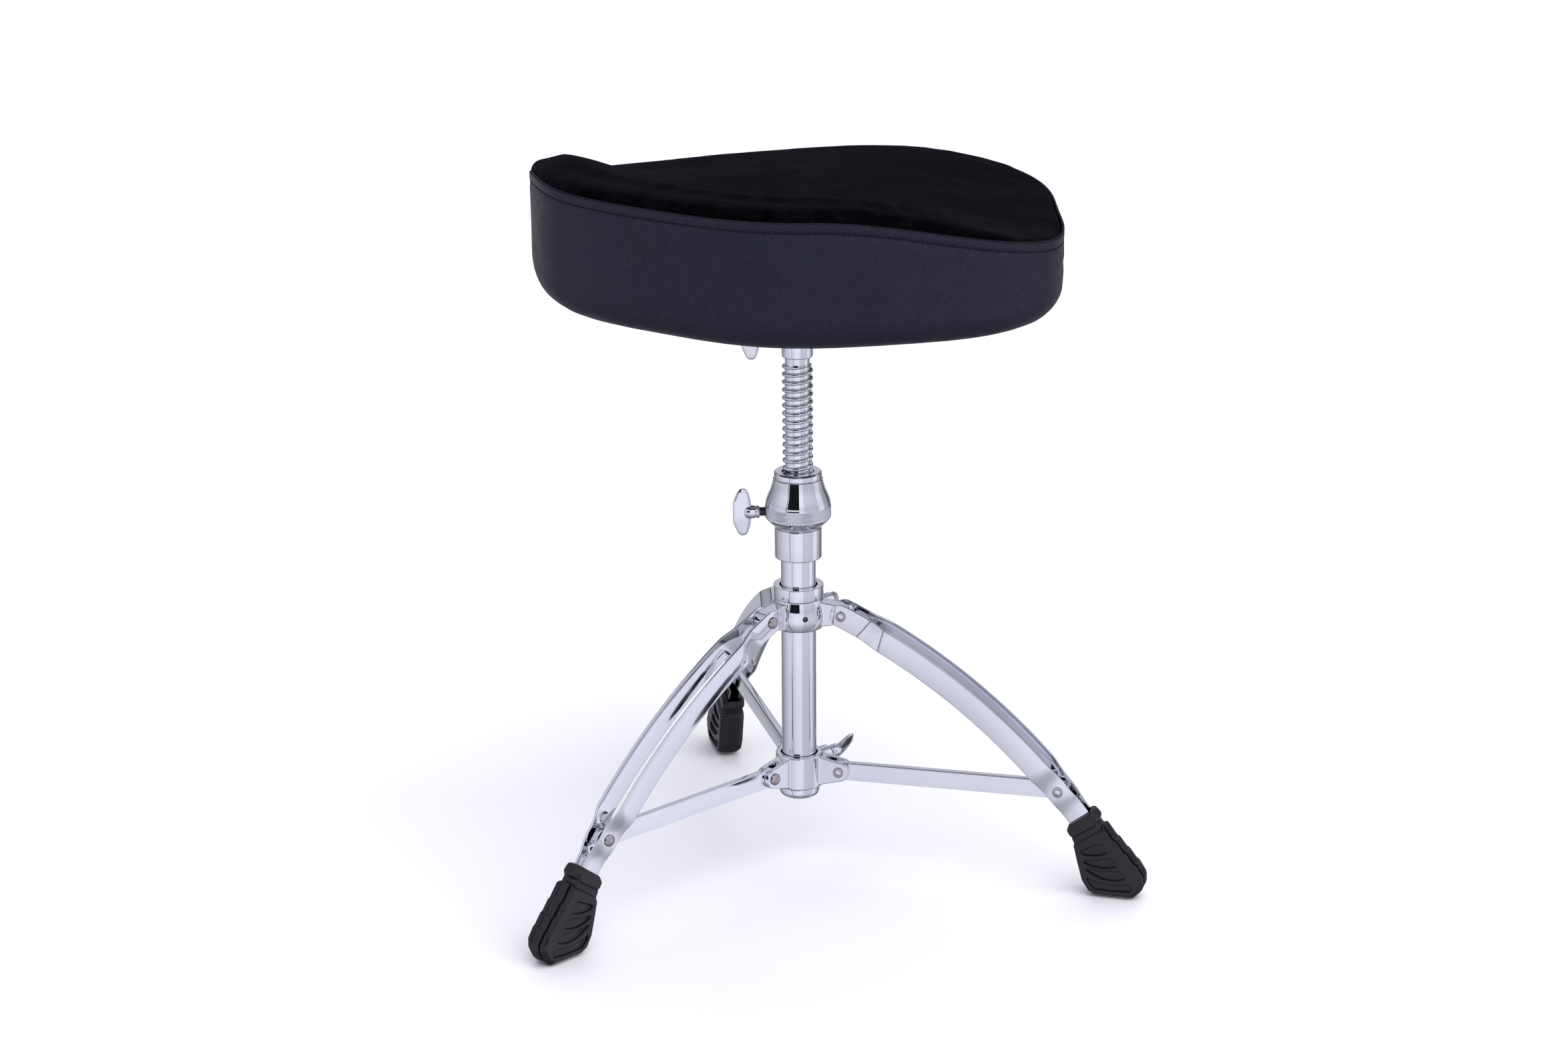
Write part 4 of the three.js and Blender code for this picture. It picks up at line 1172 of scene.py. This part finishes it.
def rivet_tail(half):
    """Profile of the rolled tubular end, from its socket's floor out to the shank, pointing up."""
    face = half + 0.3
    top = face + RIVET["tail_rise"]
    roll = [(RIVET["tail"], face), (RIVET["tail"] - 0.1, face + 0.6), (RIVET["tail"] - 0.9, top - 0.05),
            (RIVET["tail"] - 1.5, top), (RIVET["socket"] + 0.2, top - 0.25), (RIVET["socket"], top - 0.8),
            (RIVET["socket"] - 0.2, half - 1.6)]
    return [(RIVET["shank"], face), *roll, (0, half - 1.9)]


def make_rivet(name, pivot, half, place, node):
    """A whole rivet, its head on the +Y side and its tubular tail on the other."""
    tail = [(radius, -height) for radius, height in reversed(rivet_tail(half))]
    profile = plug(tail + rivet_head(half), 0.25, 3)
    placed = place @ Matrix.Translation((pivot[0], 0, pivot[1])) @ ALONG_Y
    install(lathe(name, profile, placed, SMALL_ROUND), node)


def make_stub(name, half, ending, side, place, node):
    """One end of the brace's rivet, which stops inside its own strap."""
    inside = half - STRAP_THICK
    profile = plug([(0, inside), (RIVET["shank"], inside), *ending], 0.25, 3)
    placed = place @ Matrix.Translation((BRACE_PIVOT[0], 0, BRACE_PIVOT[1]))
    placed = placed @ Matrix.Rotation(radians(-90 * side), 4, "X")
    install(lathe(name, profile, placed, SMALL_ROUND), node)


# ---- feet -----------------------------------------------------------------------------------
BOOT_SIDE = [(234, 45), (233, 41.5), (236.5, 27), (240.5, 12), (246, 3), (252, 0), (284, 0), (290, 6),
             (293.5, 14), (293.3, 20), (287.2, 29.6), (285.4, 30.2), (278.6, 39.4), (276.6, 40.1),
             (269.6, 49.3), (267.6, 50), (258.6, 62.2), (254.8, 60.5), (236, 47)]
BOOT_COLLAR = [(229.5, 60.5), (227, 54), (231, 47.5), (253.5, 62.4), (254.9, 68.5), (248.4, 75)]
BOOT_NECK = [(231.5, 49), (236, 40), (262, 52), (252, 66)]
BOOT_PANELS = [
    [(237.2, 40.3), (246, 44.6), (254.6, 49.3), (257.4, 48.8), (262.6, 40.8), (258, 38.2), (251.8, 36.8),
     (244, 36.4), (239.1, 37)],
    [(240.6, 31.5), (251.8, 32.2), (262.4, 35.3), (266.4, 35.3), (272, 28.2), (264.5, 25.7), (255.4, 25.1),
     (247, 26.4), (240.6, 29)],
    [(243, 23.6), (255.4, 21.9), (267.4, 22.7), (275.6, 23.7), (280.2, 17), (273.5, 14.4), (266.2, 13.6),
     (258, 14.6), (251.8, 17), (243.2, 21.4)],
    [(243, 14.8), (249, 12), (255.4, 10.4), (267.4, 9.2), (282, 11.5), (286.3, 8), (285.2, 4.4),
     (267.4, 3.1), (251.4, 3.6), (246.4, 8)],
]
BOOT_HALF = 10.9
BOOT_FACE = 0.89  # size of the side faces, as a share of the middle outline
BOOT_MIDDLE = (262, 32)
PANEL_DEPTH = 2.5
SPINE_HALF = 4.2  # of the ridge along the toe
PILLOW_STEPS = 8
PILLOW_EDGE = 3.2  # a higher power keeps the rounding nearer to the edge


def toward(middle, outline, share):
    """An outline drawn in towards its middle."""
    return [(mix(middle[0], x, share), mix(middle[1], z, share)) for x, z in outline]


def pillow(name, outline, middle, half, face, place):
    """A moulding whose edges round over towards its two sides."""
    layers = []
    for k in range(-PILLOW_STEPS, PILLOW_STEPS + 1):
        turn = sin(radians(90 * k / PILLOW_STEPS))
        drawn = toward(middle, outline, 1 - (1 - face) * abs(turn) ** PILLOW_EDGE)
        layers.append([(x, half * turn, z) for x, z in drawn])
    return build(name, *rows_of(layers), place)


def band_inside(outline, first, last, depth):
    """A strip that follows part of an outline, from outside it to a depth inside."""
    run = [Vector(point) for point in outline[first:last]]
    outer, inner = [], []
    for k, point in enumerate(run):
        ahead = run[min(k + 1, len(run) - 1)] - run[max(k - 1, 0)]
        normal = Vector((ahead.y, -ahead.x)).normalized()
        outer.append(tuple(point + normal * 3))
        inner.append(tuple(point - normal * depth))
    return outer + inner[::-1]


def make_boot(name, azimuth):
    """Moulded rubber boot: collar, neck, and four overlapping tiers with sunk side panels."""
    place = turned_place(azimuth)
    body = pillow("body", fillet(BOOT_SIDE, 0.9, 3), BOOT_MIDDLE, BOOT_HALF, BOOT_FACE, place)
    neck = pillow("neck", fillet(BOOT_NECK, 2), (247, 51), 8.8, 0.94, place)
    collar = pillow("collar", fillet(BOOT_COLLAR, 3.6, 5), (241.5, 61.5), 10, 0.82, place)
    cutters = []
    for panel in BOOT_PANELS:
        for side in (1, -1):
            span = sorted((side * (BOOT_HALF - PANEL_DEPTH), side * (BOOT_HALF + 3)))
            sunk = toward(BOOT_MIDDLE, fillet(panel, 1.6, 4), BOOT_FACE)
            cutters.append(prism("panel", sunk, *span, place))
    toe = BOOT_SIDE.index((293.5, 14)) - 1
    spine_side = band_inside(BOOT_SIDE, toe, len(BOOT_SIDE) - 2, 1.2)
    spine_edge = band_inside(BOOT_SIDE, toe, len(BOOT_SIDE) - 2, 2.8)
    for side in (1, -1):
        cutters.append(prism("toe_step", spine_side, *sorted((side * SPINE_HALF, side * 14)), place))
        cutters.append(prism("toe_groove", spine_edge, *sorted((side * SPINE_HALF, side * 5.3)), place))
    end = PIVOT_SPAN + STRAP_END + 0.3
    (low_x, low_z), (high_x, high_z) = on_arc(end, 0), on_arc(end - 30, 0)
    slope = atan2(low_z - high_z, low_x - high_x)
    pocket_place = place @ Matrix.Translation((low_x, 0, low_z)) @ Matrix.Rotation(-slope, 4, "Y")
    depth = STRAP_HALF + 1.3
    pocket = fillet([(-62, -depth), (0, -depth), (0, depth), (-62, depth)], 1.5)
    cutters.append(prism("pocket", pocket, -5.9, 5.9, pocket_place))
    boot = cast(f"{name}_boot", [body, neck, collar], cutters, 0.48, 4)
    for corner in boot.data.vertices:
        corner.co.z = max(corner.co.z, 0.0)
    install(boot, f"{name}_foot")


def make_leg(name, azimuth):
    place = turned_place(azimuth)
    strap_face = STRAP_SPREAD[0][1]
    for letter in ("a", "b"):
        make_strap(name, letter, azimuth)
    make_brace(name, azimuth)
    make_rivet(f"{name}_hub_rivet", UPPER_PIVOT, strap_face, place, f"{name}_upper_rivet")
    make_rivet(f"{name}_fork_rivet", LOWER_PIVOT, FORK_HALF, place, f"{name}_lower_rivet")
    dome, tail = rivet_head(strap_face), [*rivet_tail(strap_face)[:-1], (0, strap_face - 1.6)]
    make_stub(f"{name}_rivet_dome", strap_face, dome, 1, place, f"{name}_brace_rivet_head")
    make_stub(f"{name}_rivet_tube", strap_face, tail, -1, place, f"{name}_brace_rivet_tail")
    make_boot(name, azimuth)


# ---- studio ---------------------------------------------------------------------------------
CAMERA_FROM_COLUMN = Vector((-1956.4, 1936.9, 1196.1))
CAMERA_HEADING = radians(-44.474)
CAMERA_PITCH = 0.3154
CAMERA_ROLL = -0.0064
CAMERA_LENS = 81.74
FLOOR_HALF, FLOOR_DROP = 9, 0.0004  # in metres
SUN_WIDTH = 70  # in degrees, for very soft shadows


def make_camera():
    data = bpy.data.cameras.new("camera")
    data.lens = CAMERA_LENS
    data.clip_end = 50
    camera = show("camera", data)
    ahead = Vector((cos(CAMERA_HEADING) * cos(CAMERA_PITCH), sin(CAMERA_HEADING) * cos(CAMERA_PITCH),
                    -sin(CAMERA_PITCH)))
    level = Vector((sin(CAMERA_HEADING), -cos(CAMERA_HEADING), 0))
    over = level.cross(ahead)
    right = level * cos(CAMERA_ROLL) + over * sin(CAMERA_ROLL)
    up = over * cos(CAMERA_ROLL) - level * sin(CAMERA_ROLL)
    turn = Matrix((right, up, -ahead)).transposed().to_4x4()
    camera.matrix_world = Matrix.Translation(COLUMN @ CAMERA_FROM_COLUMN) @ turn
    bpy.context.scene.camera = camera


def make_floor():
    """The chrome sees the tent's lower half in place of the floor."""
    form = bmesh.new()
    bmesh.ops.create_grid(form, x_segments=4, y_segments=4, size=FLOOR_HALF)
    mesh = bpy.data.meshes.new("floor")
    form.to_mesh(mesh)
    form.free()
    mesh.materials.append(MATERIALS["studio_floor"])
    floor_piece = show("floor", mesh)
    floor_piece.location.z = -FLOOR_DROP
    floor_piece.visible_glossy = False


def soft_sun(name, azimuth, elevation, strength, color=(1, 1, 1)):
    """A wide soft light from far off. It isn't seen in the chrome."""
    data = bpy.data.lights.new(name, "SUN")
    data.angle, data.energy, data.color = radians(SUN_WIDTH), strength, color
    lamp = show(name, data)
    a, e = radians(azimuth), radians(elevation)
    away = Vector((cos(a) * cos(e), sin(a) * cos(e), sin(e)))
    lamp.rotation_mode = "QUATERNION"
    lamp.rotation_quaternion = away.to_track_quat("Z", "Y")
    lamp.location = away * 3
    lamp.visible_glossy = False


# Brightness of the tent that the chrome sees, by share of the way up and by share of a turn from +X.
TENT_BY_HEIGHT = [(0.0, 0.3), (0.15, 0.55), (0.28, 0.9), (0.34, 1.0), (0.44, 1.0), (0.5, 0.86),
                  (0.56, 0.86), (0.72, 1.05), (1.0, 1.15)]
TENT_BY_TURN = [(0.0, 0.3), (0.03, 0.36), (0.081, 0.48), (0.172, 0.68), (0.254, 0.78), (0.257, 0.2),
                (0.263, 0.2), (0.267, 0.74), (0.3, 0.76), (0.34, 0.88), (0.425, 0.88), (0.445, 0.64),
                (0.52, 0.64), (0.58, 0.6), (0.6, 0.84), (0.65, 0.84), (0.67, 0.5), (0.735, 0.36),
                (0.745, 0.1), (0.775, 0.1), (0.79, 0.42), (0.876, 0.55), (0.96, 0.5), (0.97, 0.1),
                (0.985, 0.1), (1.0, 0.3)]
TENT_BLUE = 1.07
HOOD = {"turn": 0.33, "half_turn": 0.058, "up": 0.3, "half_up": 0.29}  # black, round the camera
GAP = {"turn": 0.876, "half_turn": 0.07, "up": 0.12, "half_up": 0.1}  # black, behind the throne
DARK = (0.01, 0.01, 0.015, 1)
BACKDROP = (0.98, 0.98, 0.985, 1)  # what the camera sees past the floor's end


def make_world():
    """A pale tent with a few dark seams, the camera's dark hood, and an open gap behind the throne."""
    world = bpy.data.worlds.new("studio")
    bpy.context.scene.world = world
    world.use_nodes = True
    nodes, links = world.node_tree.nodes, world.node_tree.links
    split = nodes.new("ShaderNodeSeparateXYZ")
    links.new(nodes.new("ShaderNodeTexCoord").outputs["Generated"], split.inputs[0])

    def feed(pairs):
        for socket, value in pairs:
            if isinstance(value, bpy.types.NodeSocket):
                links.new(value, socket)
            else:
                socket.default_value = value

    def calculate(operation, *inputs):
        node = nodes.new("ShaderNodeMath")
        node.operation = operation
        feed(zip(node.inputs, inputs))
        return node.outputs["Value"]

    def shades(value, stops):
        colors = [(place, shade, shade, shade * TENT_BLUE) for place, shade in stops]
        return color_ramp(nodes, links, value, colors)

    def mixed(mode, factor, first, second):
        node = nodes.new("ShaderNodeMix")
        node.data_type, node.blend_type = "RGBA", mode
        feed(zip((node.inputs["Factor"], node.inputs[6], node.inputs[7]), (factor, first, second)))
        return node.outputs[2]

    def opening(place):
        across = calculate("COMPARE", turn, place["turn"], place["half_turn"])
        return calculate("MULTIPLY", across, calculate("COMPARE", up, place["up"], place["half_up"]))

    up = split.outputs["Z"]
    around = calculate("ARCTAN2", split.outputs["Y"], up.node.outputs["X"])
    turn = calculate("FRACT", calculate("ADD", calculate("DIVIDE", around, 2 * pi), 1.0))
    height = calculate("MULTIPLY_ADD", up, 0.5, 0.5)
    by_height = shades(height, TENT_BY_HEIGHT)
    by_turn = shades(turn, TENT_BY_TURN)
    tent = mixed("MULTIPLY", 1.0, by_height, by_turn)
    dark = calculate("MAXIMUM", opening(HOOD), opening(GAP))
    reflected = mixed("MIX", dark, tent, DARK)
    seen = nodes.new("ShaderNodeLightPath").outputs["Is Camera Ray"]
    links.new(mixed("MIX", seen, reflected, BACKDROP), nodes["Background"].inputs["Color"])


def make_studio():
    make_camera()
    make_floor()
    make_world()
    soft_sun("key", 175, 50, 1.95)
    soft_sun("back", -50, 45, 1.3, (0.97, 0.98, 1))
    bpy.context.scene.view_settings.view_transform = "Standard"


# ---- assembly -------------------------------------------------------------------------------
make_studio()
make_cushion()
make_skirt()
make_stitching()
make_underside()
make_receiver()
make_plate_bolts()
make_wing_screws()
make_rod()
make_tube()
make_end_nut()
make_sleeve()
make_lock_collar()
make_upper_hub()
make_lower_hub()
for leg_name, leg_azimuth in LEG_AZIMUTHS.items():
    make_leg(leg_name, leg_azimuth)
